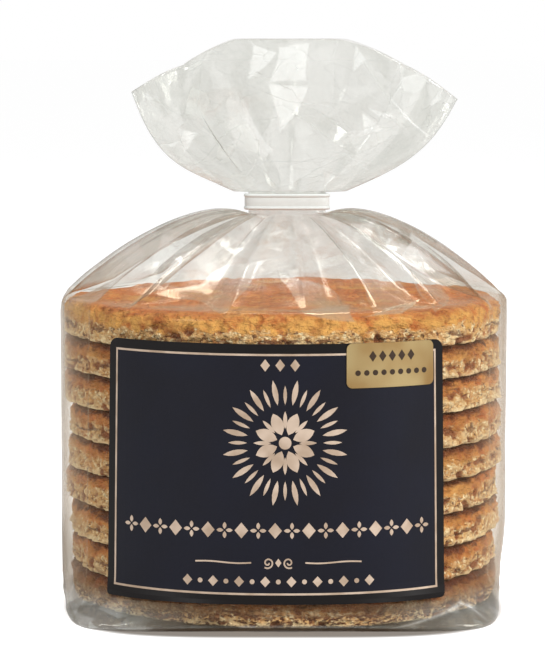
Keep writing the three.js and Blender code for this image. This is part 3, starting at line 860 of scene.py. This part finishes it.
# Sheen as a share of the light: at a grazing angle and face on, each for slack and for taut film.
GRAZING_SLACK, GRAZING_TAUT, FACE_ON_SLACK, FACE_ON_TAUT = 0.55, 0.25, 0.016, 0.006
# The wall's sheen is painted reflection of the waffles; the crease, seam and spark shares are painted
# highlights.
PAINTED_WALL_REFLECTION, HALF_SLACK_SHEEN = 0.8, 0.14
CREASE_SHEEN, SEAM_SHEEN, SEAM_WIDTH, SPARK_SHEEN = 0.15, 0.12, 0.025, 0.15


def painted_glint_share(finish, place, triangles):
    """How much sheen the painted highlight triangles in the front view give at a place."""
    total = 0.0
    for corners, fill, line in triangles:
        depths = []
        for (x0, z0), (x1, z1) in zip(corners, corners[1:] + corners[:1]):
            length = math.hypot(x1 - x0, z1 - z0)
            across, up = (z0 - z1) / length, (x1 - x0) / length
            start = (across * x0 + up * z0) * MM
            depths.append(finish.move("DOT_PRODUCT", place, (across, 0, up), "Value") - start)
        inside = finish.least(*depths)
        edge = 1 - finish.step(abs(inside), 0.0, GLINT_EDGE)
        total = finish.step(inside, *GLINT_BLUR) * fill + edge * line + total
    return total


def film_finish(settings):
    """Clear film with sheen mixed in: more where it is slack, crumpled, creased or seen at an angle; some
    highlights, reflections and the base's shade are painted.
    """
    finish = Finish("packing film", Roughness=0.13, Metallic=0.5)
    flow = finish.attribute("flow", "Vector")
    names = ("slack", "crease", "milk_and_reflection", "tone", "grey", "ear")
    slack, crease, panel, tone, grey, ear = (finish.attribute(name) for name in names)
    shift = finish.move("MULTIPLY", finish.noise(18, 1, flow, 1), WARP)
    stretched = finish.move("MULTIPLY", finish.move("ADD", flow, shift), (1.0, 1.0, 0.7))
    height, cells, seams = 0.0, [], None
    for size, slope in FILM_FACETS:
        sockets = {"Vector": stretched, "Scale": 1 / (size * MM)}
        tilt, cell = finish.node("ShaderNodeTexVoronoi", {}, sockets, ("Color", "Position"))
        away, lean = finish.move("SUBTRACT", stretched, cell), finish.move("SUBTRACT", tilt, 0.5)
        height = finish.move("DOT_PRODUCT", away, lean, "Value") * (slope / MM) + height
        cells.append(finish.node("ShaderNodeSeparateColor", {}, {0: tilt}))
        if seams is None:
            border = finish.node("ShaderNodeTexVoronoi", {"feature": "DISTANCE_TO_EDGE"}, sockets, "Distance")
            seams = 1 - finish.step(border, 0.0, SEAM_WIDTH)
    scribble = finish.noise(8, 2, flow)
    normal = finish.bump(height * slack, 1.0)
    facing = finish.node("ShaderNodeLayerWeight", {}, {"Blend": 0.5, "Normal": normal}, "Facing")
    grazing = facing**5
    mirror = grazing * (slack * GRAZING_SLACK + GRAZING_TAUT) + slack * FACE_ON_SLACK + FACE_ON_TAUT
    # Painted reflection of the waffles: taut film gets more sheen at a grazing angle.
    wall = (1 - finish.step(slack, 0.1, 0.25)) * grazing * PAINTED_WALL_REFLECTION
    # Painted highlight lines along sharp creases and the seams between facets.
    painted_crease_lines = finish.step(crease, 0.7, 0.95) * finish.step(scribble, 0.35, 0.65) * CREASE_SHEEN
    painted_crease_lines = painted_crease_lines + seams * slack * slack * finish.step(scribble, 0.45, 0.6) * SEAM_SHEEN
    # Milky facets: partly the film's own haze, partly painted reflection on slack facets and fold sides.
    milk_and_reflection = (panel * 0.6 + tone * 0.5 + cells[0] * slack * 1.8 + 0.3) * settings.veil
    # Painted highlights: random small cells of slack film that show more sheen and a whiter tint.
    painted_sparks = finish.step(cells[0] * 0.3 + cells[1] * 0.7, 0.82, 0.84) * slack * SPARK_SHEEN
    front = finish.node("ShaderNodeSeparateXYZ", {}, {0: finish.place}, 1)
    moved = finish.move("ADD", finish.move("SUBTRACT", finish.place, WARP / 2), shift)
    still = finish.move("ADD", finish.place, finish.move("MULTIPLY", shift, BASE_WARP))
    # Painted highlights: fixed triangles where the film shows more sheen and a whiter tint, standing in for
    # mirrored lamps.
    painted_lamp_shine = painted_glint_share(finish, moved, PAINTED_GLINTS) + painted_glint_share(finish, still, PAINTED_BASE_GLINTS)
    painted_lamp_shine = painted_lamp_shine * (1 - finish.step(front, -2 * MM, 0.0))
    # Painted shade at the base: the crumpled foot and ears show much sheen, which takes the dark tint.
    folds = ear**2 * 0.5 + ear * 0.1
    loose = slack * (milk_and_reflection + painted_sparks + (1 - slack) * HALF_SLACK_SHEEN)
    share = mirror * settings.gloss + painted_crease_lines + settings.haze + loose + painted_lamp_shine + wall + folds
    clear = finish.node("ShaderNodeBsdfTransparent", {}, {"Color": settings.clear})
    sheen = Shade(finish, finish.principled.outputs[0])
    mixed = finish.node("ShaderNodeMixShader", {}, {0: share, 1: clear, 2: sheen})
    finish.tree.links.new(mixed.socket, finish.output.inputs[0])
    # Painted highlight: the sheen's colour runs from the dull to the bright tint on grey facets, sparks,
    # glints, crease lines, slack film and at a grazing angle.
    painted_highlight = finish.step(grey, 0.2, 0.9) * 0.7 + painted_sparks * 3 + painted_lamp_shine * 3 + painted_crease_lines * 5
    painted_highlight = painted_highlight + finish.step(slack, 0.7, 0.95) * 0.3 + grazing * 0.6
    patches = finish.step(cells[1] * 0.5 + scribble * 0.5, 0.3, 0.7)
    # The dark tint of the base's painted shade gives way to lighter patches on the ears.
    lit = (1 - finish.step(ear, 0.6, 0.9)) * (0.45 + patches * 0.5)
    colour = finish.blend(painted_highlight, settings.dull, settings.tint)
    # Painted reflection of the waffles: taut film's sheen takes the warm tint.
    colour = finish.blend(finish.step(slack, 0.05, 0.65), settings.painted_waffle_reflection, colour)
    colour = finish.blend(finish.step(ear, 0.1, 0.5) * (1 - lit), colour, settings.dark)
    finish.set(**{"Base Color": colour, "Normal": normal})
    return finish.material


class WAFFLEBAG_OT_film(bpy.types.Operator):
    """Pack the stack in its film bag"""

    bl_idname = "wafflebag.film"
    bl_label = "Film bag"

    def execute(self, context):
        settings = context.scene.film_settings
        film = film_piece(settings, film_finish(settings))
        film.visible_shadow = film.visible_diffuse = False  # clear film dims nothing that it covers
        return {"FINISHED"}


# ---- Neck clip --------------------------------------------------------------------------------

CLIP_STEPS = 192
CLIP_BEAD, BEAD_TURN, BEAD_STEPS = 0.42, 0.86 * math.pi, 9  # radius, arc and points of each bead
WEB_INSET, WEB_START = 0.5 * CLIP_BEAD, 2.3 * CLIP_BEAD  # the flat band between the beads
CLIP_BEVEL = 0.1
CLIP_INNER_WIDTH, CLIP_INNER_DEPTH = 9.4, 2.6
LAP_FROM, LAP_TO, LAP_RAMP, LAP_EXTRA = 150.0, 205.0, 1.0, 0.45
LAP_INSIDE = 0.3  # the lap leaves the band's inside as it is and grows over this distance
CLIP_SHADE = 0.86


def clip_section(thickness):
    """The band's section as (distance out, height), from its inner bottom edge round the outside."""
    height = CLIP_TOP - CLIP_BOTTOM
    bead = [
        (thickness - CLIP_BEAD + CLIP_BEAD * math.sin(turn), CLIP_BEAD - CLIP_BEAD * math.cos(turn))
        for turn in np.linspace(0, BEAD_TURN, BEAD_STEPS)
    ]
    low = [(0.0, CLIP_BEVEL), (CLIP_BEVEL, 0.0), *bead, (thickness - WEB_INSET, WEB_START)]
    return low + [(out, height - z) for out, z in reversed(low)]


def clip_piece(settings, finish):
    section = np.array(clip_section(settings.thickness / MM))
    degrees = np.linspace(0, 360, CLIP_STEPS, endpoint=False)
    start, end = (smoothstep(degrees, edge - LAP_RAMP, edge + LAP_RAMP) for edge in (LAP_FROM, LAP_TO))
    out = section[:, :1] + LAP_EXTRA * (start - end) * smoothstep(section[:, :1], 0, LAP_INSIDE)
    height = CLIP_BOTTOM + section[:, 1:]
    grid = oval_point(np.radians(degrees), CLIP_INNER_WIDTH + out, CLIP_INNER_DEPTH + out, height)
    faces = ring_faces(len(section), CLIP_STEPS, closed=True)
    return new_piece("clip_band", grid.reshape(-1, 3), faces, finish, ["neck_clip"])


def clip_finish(settings):
    finish = Finish("clip plastic", Roughness=0.38, Specular_IOR_Level=0.5)
    cloud = finish.step(finish.noise(3, 3), 0.3, 0.75)
    darker = [CLIP_SHADE * value for value in settings.plastic]
    colour = finish.blend(cloud * 0.25, settings.plastic, darker)
    finish.set(**{"Base Color": colour, "Normal": finish.bump(finish.noise(1.5, 3), 0.06)})
    finish.set(**{"Subsurface Weight": 0.15, "Subsurface Radius": (2 * MM,) * 3})
    return finish.material


class WAFFLEBAG_OT_clip(bpy.types.Operator):
    """Close the neck with its clip"""

    bl_idname = "wafflebag.clip"
    bl_label = "Neck clip"

    def execute(self, context):
        settings = context.scene.clip_settings
        clip_piece(settings, clip_finish(settings))
        return {"FINISHED"}


# ---- Label and sticker ------------------------------------------------------------------------

WRAP_RADIUS = BAG_HALF_WIDTH
BEND_STEP = 1.5
LABEL_FROM, LABEL_TO, LABEL_BOTTOM, LABEL_TOP, LABEL_CORNER = -46.5, 41.2, 6.6, 63.9, 2.2
STICKER_FROM, STICKER_TO, STICKER_BOTTOM, STICKER_TOP, STICKER_CORNER = 15.0, 38.0, 54.1, 63.9, 1.3
LABEL_INNER, LABEL_OUTER = 0.1, 0.4
FOIL_INNER, FOIL_OUTER = 0.36, 0.46
STICKER_INNER, STICKER_OUTER = 0.47, 0.68
STICKER_UPPER_Z, STICKER_LOWER_Z = 61.0, 57.4  # the sticker's two rows of print
INK_INNER, INK_OUTER = 0.65, 0.74
INK_LOZENGE, INK_LOZENGE_PITCH, INK_DOT, INK_DOT_PITCH = (0.85, 1.2), 2.3, (0.62, 14), 2.0
LINE_INSET, LINE_WIDTH = 2.1, 0.45
FIELD_EDGE = ((LINE_INSET + 0.1) * MM, (LINE_INSET + 0.3) * MM)  # the border ends under the frame line
PETAL_POWER = 0.8  # below 1 makes petals fuller
WELD, CUT_SLACK = 1e-4, 1e-5


def arc_of(degrees):
    return math.radians(degrees) * WRAP_RADIUS


def bent_piece(name, shapes, inner, outer, finish, slot, replaces=(), merge=False):
    """A thin closed piece: flat convex shapes (across, up), bent round the bag between two offsets."""
    flat = bmesh.new()
    for shape in shapes:
        flat.faces.new([flat.verts.new((x, 0, z)) for x, z in shape])
    if merge:
        bmesh.ops.remove_doubles(flat, verts=flat.verts, dist=WELD)
    across = [vert.co.x for vert in flat.verts]
    up = [vert.co.z for vert in flat.verts]
    for axis, low, high in (((1, 0, 0), min(across), max(across)), ((0, 0, 1), min(up), max(up))):
        for cut in range(math.floor(low / BEND_STEP) + 1, math.ceil(high / BEND_STEP)):
            place = Vector(axis) * (cut * BEND_STEP)
            geometry = [*flat.verts, *flat.edges, *flat.faces]
            bmesh.ops.bisect_plane(flat, geom=geometry, dist=CUT_SLACK, plane_co=place, plane_no=axis)
    bmesh.ops.recalc_face_normals(flat, faces=flat.faces)
    flat.verts.index_update()
    count = len(flat.verts)
    x = np.array([vert.co.x for vert in flat.verts])
    z = np.array([vert.co.z for vert in flat.verts])
    faces = []
    for face in flat.faces:
        corners = [vert.index for vert in face.verts]
        if face.normal.y > 0:
            corners.reverse()
        faces.append(tuple(corners))
        faces.append(tuple(count + corner for corner in reversed(corners)))
    directed = {(a, b) for face in faces[::2] for a, b in zip(face, face[1:] + face[:1])}
    faces += [(b, a, count + a, count + b) for a, b in directed if (b, a) not in directed]
    flat.free()
    front = wall_point(x / WRAP_RADIUS, z, outer)
    back = wall_point(x / WRAP_RADIUS, z, inner)
    sheet = points_of(x, z, 0 * x) * MM
    attributes = {"flat": np.concatenate([sheet, sheet])}
    points = np.concatenate([front, back])
    return new_piece(name, points, faces, finish, replaces, attributes, smooth=False)


def rectangle(left, right, low, high, corner=0.0, steps=6):
    """A rectangle's outline, counter-clockwise, with round corners."""
    if corner == 0:
        return [(left, low), (right, low), (right, high), (left, high)]
    centres = rectangle(left + corner, right - corner, low + corner, high - corner)
    outline = []
    for quarter, (x, z) in enumerate((*centres[1:], centres[0])):
        for step in range(steps + 1):
            turn = math.pi / 2 * (quarter - 1 + step / steps)
            outline.append((x + corner * math.cos(turn), z + corner * math.sin(turn)))
    return outline


def frame_line(left, right, low, high, width):
    """Four mitred strips just inside a rectangle."""
    outside = rectangle(left, right, low, high)
    inside = rectangle(left + width, right - width, low + width, high - width)
    return [[outside[i], outside[(i + 1) % 4], inside[(i + 1) % 4], inside[i]] for i in range(4)]


def lozenge(x, z, half_width, half_height):
    return [(x - half_width, z), (x, z - half_height), (x + half_width, z), (x, z + half_height)]


def disc(x, z, radius, sides=20):
    return [
        (x + radius * math.cos(TURN * side / sides), z + radius * math.sin(TURN * side / sides))
        for side in range(sides)
    ]


def petal(x, z, turn, start, length, width, steps=7):
    """A pointed leaf that starts at a distance from (x, z) and points along turn."""
    spine = [start + length * step / steps for step in range(steps + 1)]
    half = [0.5 * width * math.sin(math.pi * step / steps) ** PETAL_POWER for step in range(steps + 1)]
    along, aside = (math.cos(turn), math.sin(turn)), (-math.sin(turn), math.cos(turn))
    edge = [(s, h) for s, h in zip(spine, half)] + [(s, -h) for s, h in zip(spine, half)][-2:0:-1]
    return [(x + s * along[0] + h * aside[0], z + s * along[1] + h * aside[1]) for s, h in edge][::-1]


def ribbon(points, width):
    """Quads of one width along a flat curve."""
    count = len(points)
    left, right = [], []
    for i, (x, z) in enumerate(points):
        ahead, behind = points[min(i + 1, count - 1)], points[max(i - 1, 0)]
        dx, dz = ahead[0] - behind[0], ahead[1] - behind[1]
        half = 0.5 * width / math.hypot(dx, dz)
        left.append((x - dz * half, z + dx * half))
        right.append((x + dz * half, z - dx * half))
    return [[left[i], right[i], right[i + 1], left[i + 1]] for i in range(count - 1)]


EMBLEM = (0.2, 42.3)
RAYS, LONG_RAY, SHORT_RAY = 32, (8.4, 5.6, 1.25), (8.4, 4.2, 0.8)  # start, length and width
LEAVES, BROAD_LEAF, NARROW_LEAF, HUB = 8, (1.9, 5.1, 2.7), (3.1, 3.9, 0.9), 1.4
CREST_X, CREST_Z, CREST_PITCH, CREST_SIZE = -0.9, 59.3, 3.3, (1.05, 1.35)
TITLE_FROM, TITLE_TO, TITLE_Z, TITLE_COUNT = -35.6, 31.6, 23.0, 19
TITLE_SIZE, TITLE_LEAF = (1.5, 1.75), (0.25, 1.55, 0.85)
FOOT_FROM, FOOT_TO, FOOT_Z, FOOT_COUNT = -21.6, 19.0, 11.7, 15
FOOT_SIZE, FOOT_DOT = (1.1, 1.2), 0.55
FLOURISH_Z, FLOURISH_FROM, FLOURISH_TO, FLOURISH_WAVE = 15.9, 6.0, 18.5, 0.15
FLOURISH_WIDTH, FLOURISH_SIZE = 0.34, (0.7, 0.95)
SCROLL_PLACE, SCROLL_INNER, SCROLL_OUTER, SCROLL_TURNS, SCROLL_STEPS = 2.3, 0.25, 1.25, 1.35, 26


def emblem_shapes():
    """A sunburst round a rosette of petals."""
    shapes = []
    for ray in range(RAYS):
        shapes.append(petal(*EMBLEM, TURN * ray / RAYS, *(LONG_RAY if ray % 2 else SHORT_RAY), steps=5))
    for leaf in range(LEAVES):
        shapes.append(petal(*EMBLEM, TURN * (leaf + 0.5) / LEAVES, *BROAD_LEAF))
        shapes.append(petal(*EMBLEM, TURN * leaf / LEAVES, *NARROW_LEAF))
    shapes.append(disc(*EMBLEM, HUB))
    return shapes


def scroll(middle, side):
    """A spiral that winds up beside the middle of the flourish."""
    points = []
    for step in range(SCROLL_STEPS + 1):
        share = step / SCROLL_STEPS
        radius = mix(SCROLL_INNER, SCROLL_OUTER, share)
        turn = TURN * SCROLL_TURNS * share + math.pi
        across = SCROLL_PLACE + radius * math.cos(turn)
        points.append((middle + side * across, FLOURISH_Z + radius * math.sin(turn)))
    return points


def ornament_shapes():
    """Rows of small motifs and the flourish between them."""
    shapes = []
    for i in range(TITLE_COUNT):
        x = mix(TITLE_FROM, TITLE_TO, i / (TITLE_COUNT - 1))
        if i % 2:
            shapes.append(lozenge(x, TITLE_Z, *TITLE_SIZE))
        else:
            shapes += [petal(x, TITLE_Z, TURN * turn / 4, *TITLE_LEAF, steps=5) for turn in range(4)]
    for i in range(FOOT_COUNT):
        x = mix(FOOT_FROM, FOOT_TO, i / (FOOT_COUNT - 1))
        shapes.append(disc(x, FOOT_Z, FOOT_DOT, 12) if i % 2 else lozenge(x, FOOT_Z, *FOOT_SIZE))
    middle = 0.5 * (FOOT_FROM + FOOT_TO)
    for side in (-1, 1):
        line = []
        for share in np.linspace(0, 1, 12):
            x = middle + side * mix(FLOURISH_FROM, FLOURISH_TO, share)
            line.append((x, FLOURISH_Z - FLOURISH_WAVE * math.sin(TURN * share)))
        shapes += ribbon(line, FLOURISH_WIDTH) + ribbon(scroll(middle, side), FLOURISH_WIDTH)
    shapes.append(lozenge(middle, FLOURISH_Z, *FLOURISH_SIZE))
    shapes += [lozenge(CREST_X + CREST_PITCH * i, CREST_Z, *CREST_SIZE) for i in (-1, 0, 1)]
    return shapes


def label_finish(settings):
    finish = Finish("label print", Roughness=0.42, Specular_IOR_Level=0.2)
    flat = finish.attribute("flat", "Vector")
    left, right = arc_of(LABEL_FROM) * MM, arc_of(LABEL_TO) * MM
    middle = (0.5 * (left + right), 0.5 * (LABEL_BOTTOM + LABEL_TOP) * MM, 0)
    half = (0.5 * (right - left), 0.5 * (LABEL_TOP - LABEL_BOTTOM) * MM, 1)
    away = finish.move("ABSOLUTE", finish.move("SUBTRACT", flat, middle), 0)
    edge = finish.node("ShaderNodeSeparateXYZ", {}, {0: finish.move("SUBTRACT", half, away)}, (0, 1))
    inside = finish.step(finish.least(*edge), *FIELD_EDGE)
    cloud = finish.step(finish.noise(16, 3), 0.3, 0.7)
    navy = finish.blend(cloud * 0.35, settings.navy, settings.border)
    colour = finish.blend(inside, settings.border, navy)
    fibre = finish.bump(finish.noise(0.35, 2), 0.02)
    finish.set(**{"Base Color": colour, "Roughness": 0.36 + finish.noise(6, 3) * 0.16, "Normal": fibre})
    return finish.material


def foil_finish(name, light, dark, metallic, streak):
    """Satin metal print, darker in clouds of streak millimetres."""
    finish = Finish(name, Roughness=0.36, Metallic=metallic)
    shade = finish.step(finish.noise(streak, 2), 0.3, 0.7)
    normal = finish.bump(finish.noise(0.5, 2), 0.015)
    finish.set(**{"Base Color": finish.blend(shade, light, dark), "Normal": normal})
    return finish.material


def ink_finish(settings):
    finish = Finish("dark ink", Roughness=0.4, Specular_IOR_Level=0.3)
    finish.set(**{"Base Color": settings.ink})
    return finish.material


class WAFFLEBAG_OT_label(bpy.types.Operator):
    """Stick the label on the bag's front"""

    bl_idname = "wafflebag.label"
    bl_label = "Label"

    def execute(self, context):
        settings = context.scene.label_settings
        left, right = arc_of(LABEL_FROM), arc_of(LABEL_TO)
        outline = rectangle(left, right, LABEL_BOTTOM, LABEL_TOP, LABEL_CORNER)
        paper = label_finish(settings)
        bent_piece("label_sheet", [outline], LABEL_INNER, LABEL_OUTER, paper, "label_print", ["label"])
        foil = foil_finish("rose gold print", settings.foil, settings.foil_shade, 0.35, 5.0)
        low, high = LABEL_BOTTOM + LINE_INSET, LABEL_TOP - LINE_INSET
        line = frame_line(left + LINE_INSET, right - LINE_INSET, low, high, LINE_WIDTH)
        for name, shapes, merge in (
            ("label_frame_line", line, True),
            ("label_emblem", emblem_shapes(), False),
            ("label_ornaments", ornament_shapes(), True),
        ):
            bent_piece(name, shapes, FOIL_INNER, FOIL_OUTER, foil, "label_print", merge=merge)
        return {"FINISHED"}


class WAFFLEBAG_OT_sticker(bpy.types.Operator):
    """Stick the small gold sticker on the label's corner"""

    bl_idname = "wafflebag.sticker"
    bl_label = "Sticker"

    def execute(self, context):
        settings = context.scene.label_settings
        left, right = arc_of(STICKER_FROM), arc_of(STICKER_TO)
        outline = rectangle(left, right, STICKER_BOTTOM, STICKER_TOP, STICKER_CORNER)
        gold = foil_finish("satin gold", settings.gold, settings.gold_shade, 0.55, 12.0)
        sides = (STICKER_INNER, STICKER_OUTER)
        bent_piece("gold_sheet", [outline], *sides, gold, "gold_sticker", ["corner_sticker"])
        middle = 0.5 * (left + right)
        shapes = []
        for i in range(-2, 3):
            shapes.append(lozenge(middle + INK_LOZENGE_PITCH * i, STICKER_UPPER_Z, *INK_LOZENGE))
        for i in range(-4, 5):
            shapes.append(disc(middle + INK_DOT_PITCH * i, STICKER_LOWER_Z, *INK_DOT))
        bent_piece("sticker_ink", shapes, INK_INNER, INK_OUTER, ink_finish(settings), "gold_sticker")
        return {"FINISHED"}


# ---- Stage ------------------------------------------------------------------------------------

FLOOR_HALF, FLOOR_Z = 30.0, -0.02 * MM
FLOOR_GLOW = 0.38
FLOOR_TONE, FLOOR_SHADE = (0.8, 0.8, 0.8), (0.3, 0.27, 0.24)
GLOW_NEAR, GLOW_REACH = 1.6, (4.0, 120.0)  # extra share of glow near the bag
SHADOW_HALF = (0.0495, 0.0545)  # half sizes of the shade under the bag, where nothing glows
GLOW_EDGE, SHADE_EDGE = (0.96, 1.12), (0.95, 1.1)
SOFTBOXES = (
    # place, size, radiance
    ((-0.75, -0.75, 0.6), (0.3, 0.5), 8.0),
    ((0.85, -0.6, 0.5), (0.3, 0.6), 8.0),
    ((0.05, 0.5, 1.1), (0.6, 0.3), 6.0),
)
SUN_PLACE, SUN_ENERGY, SUN_ANGLE = (0.7, -0.75, 1.0), 1.95, math.radians(24)
BAG_MIDDLE = Vector((0, 0, 0.075))


def add_light(name, kind, place, **values):
    """A lamp that points at the middle of the bag."""
    lamp = bpy.data.lights.new(name, kind)
    for key, value in values.items():
        setattr(lamp, key, value)
    light = bpy.data.objects.new(name, lamp)
    bpy.context.scene.collection.objects.link(light)
    light.location = place
    light.rotation_euler = (BAG_MIDDLE - light.location).to_track_quat("-Z", "Y").to_euler()
    return light


def build_room(settings):
    """White to the camera and a soft grey room to everything it lights."""
    world = bpy.data.worlds.new("room")
    bpy.context.scene.world = world
    world.use_nodes = True
    tree = world.node_tree
    tree.nodes.clear()
    path = tree.nodes.new("ShaderNodeLightPath")
    shader = None
    for strength, ray in (
        (settings.room_light, None),
        (settings.room_shine, "Is Glossy Ray"),
        (settings.backdrop, "Is Camera Ray"),
    ):
        background = tree.nodes.new("ShaderNodeBackground")
        background.inputs["Strength"].default_value = strength
        background.inputs["Color"].default_value = (1, 1, 1, 1)
        if ray:
            either = tree.nodes.new("ShaderNodeMixShader")
            tree.links.new(path.outputs[ray], either.inputs[0])
            tree.links.new(shader, either.inputs[1])
            tree.links.new(background.outputs[0], either.inputs[2])
            shader = either.outputs[0]
        else:
            shader = background.outputs[0]
    output = tree.nodes.new("ShaderNodeOutputWorld")
    tree.links.new(shader, output.inputs[0])


def build_floor():
    mesh = bpy.data.meshes.new("floor")
    corners = rectangle(-FLOOR_HALF, FLOOR_HALF, -FLOOR_HALF, FLOOR_HALF)
    mesh.from_pydata([(x, y, FLOOR_Z) for x, y in corners], [], [(0, 1, 2, 3)])
    finish = Finish("floor", Roughness=0.9, Specular_IOR_Level=0.0)
    # Painted light and shadow: the floor glows to the camera, more strongly near the bag to wash out its
    # shadow, but not just under the bag, where its colour darkens as painted shadow.
    seen = finish.node("ShaderNodeLightPath", output="Is Camera Ray")
    shares = finish.move("DIVIDE", finish.place, (*SHADOW_HALF, 1))
    squares = finish.move("MULTIPLY", shares, shares)
    away = finish.move("LENGTH", squares, 0, "Value")
    near = 1 + GLOW_NEAR * (1 - finish.step(away, *GLOW_REACH))
    seen = seen * finish.step(away, *GLOW_EDGE) * near
    colour = finish.blend(finish.step(away, *SHADE_EDGE), FLOOR_SHADE, FLOOR_TONE)
    finish.set(**{"Base Color": colour, "Emission Color": seen, "Emission Strength": FLOOR_GLOW})
    mesh.materials.append(finish.material)
    floor = bpy.data.objects.new("floor", mesh)
    bpy.context.scene.collection.objects.link(floor)


class WAFFLEBAG_OT_stage(bpy.types.Operator):
    """Set up the floor, the lights and the camera"""

    bl_idname = "wafflebag.stage"
    bl_label = "Stage"

    def execute(self, context):
        settings = context.scene.studio_settings
        scene = context.scene
        build_floor()
        build_room(settings)
        daylight = add_light("daylight", "SUN", SUN_PLACE, energy=SUN_ENERGY, angle=SUN_ANGLE)
        daylight.visible_glossy = False  # only the softboxes are mirrored
        for i, (place, size, radiance) in enumerate(SOFTBOXES):
            power = radiance * math.pi * size[0] * size[1]
            shape = {"shape": "RECTANGLE", "size": size[0], "size_y": size[1]}
            add_light(f"softbox_{i + 1}", "AREA", place, energy=power, **shape)
        lens = bpy.data.cameras.new("camera")
        lens.lens, lens.sensor_width = settings.focal_length, 36.0
        lens.clip_start, lens.clip_end = 0.01, 200.0
        camera = bpy.data.objects.new("camera", lens)
        scene.collection.objects.link(camera)
        camera.location = settings.camera_place
        camera.rotation_euler = (math.pi / 2 - settings.camera_pitch, 0, 0)
        scene.camera = camera
        scene.view_settings.view_transform = "Standard"
        scene.cycles.transparent_max_bounces = 48
        scene.cycles.max_bounces, scene.cycles.diffuse_bounces, scene.cycles.glossy_bounces = 6, 3, 3
        return {"FINISHED"}


# ---- Add-on -----------------------------------------------------------------------------------


class WAFFLEBAG_PT_panel(bpy.types.Panel):
    """The bag's pieces, one button each"""

    bl_idname = "WAFFLEBAG_PT_panel"
    bl_label = "Waffle Bag"
    bl_space_type = "VIEW_3D"
    bl_region_type = "UI"
    bl_category = "Waffle Bag"

    def draw(self, context):
        for operator in OPERATORS:
            self.layout.operator(operator.bl_idname)


SETTINGS = {
    "waffle_settings": WaffleSettings,
    "film_settings": FilmSettings,
    "clip_settings": ClipSettings,
    "label_settings": LabelSettings,
    "studio_settings": StudioSettings,
}
OPERATORS = (
    WAFFLEBAG_OT_stage,
    WAFFLEBAG_OT_waffles,
    WAFFLEBAG_OT_film,
    WAFFLEBAG_OT_clip,
    WAFFLEBAG_OT_label,
    WAFFLEBAG_OT_sticker,
)


def register():
    for name, group in SETTINGS.items():
        bpy.utils.register_class(group)
        setattr(bpy.types.Scene, name, PointerProperty(type=group))
    for operator in (*OPERATORS, WAFFLEBAG_PT_panel):
        bpy.utils.register_class(operator)


def unregister():
    for operator in (*OPERATORS, WAFFLEBAG_PT_panel):
        bpy.utils.unregister_class(operator)
    for name, group in SETTINGS.items():
        delattr(bpy.types.Scene, name)
        bpy.utils.unregister_class(group)


def main():
    register()
    for operator in OPERATORS:
        group, name = operator.bl_idname.split(".")
        getattr(getattr(bpy.ops, group), name)()


if __name__ == "__main__":
    main()
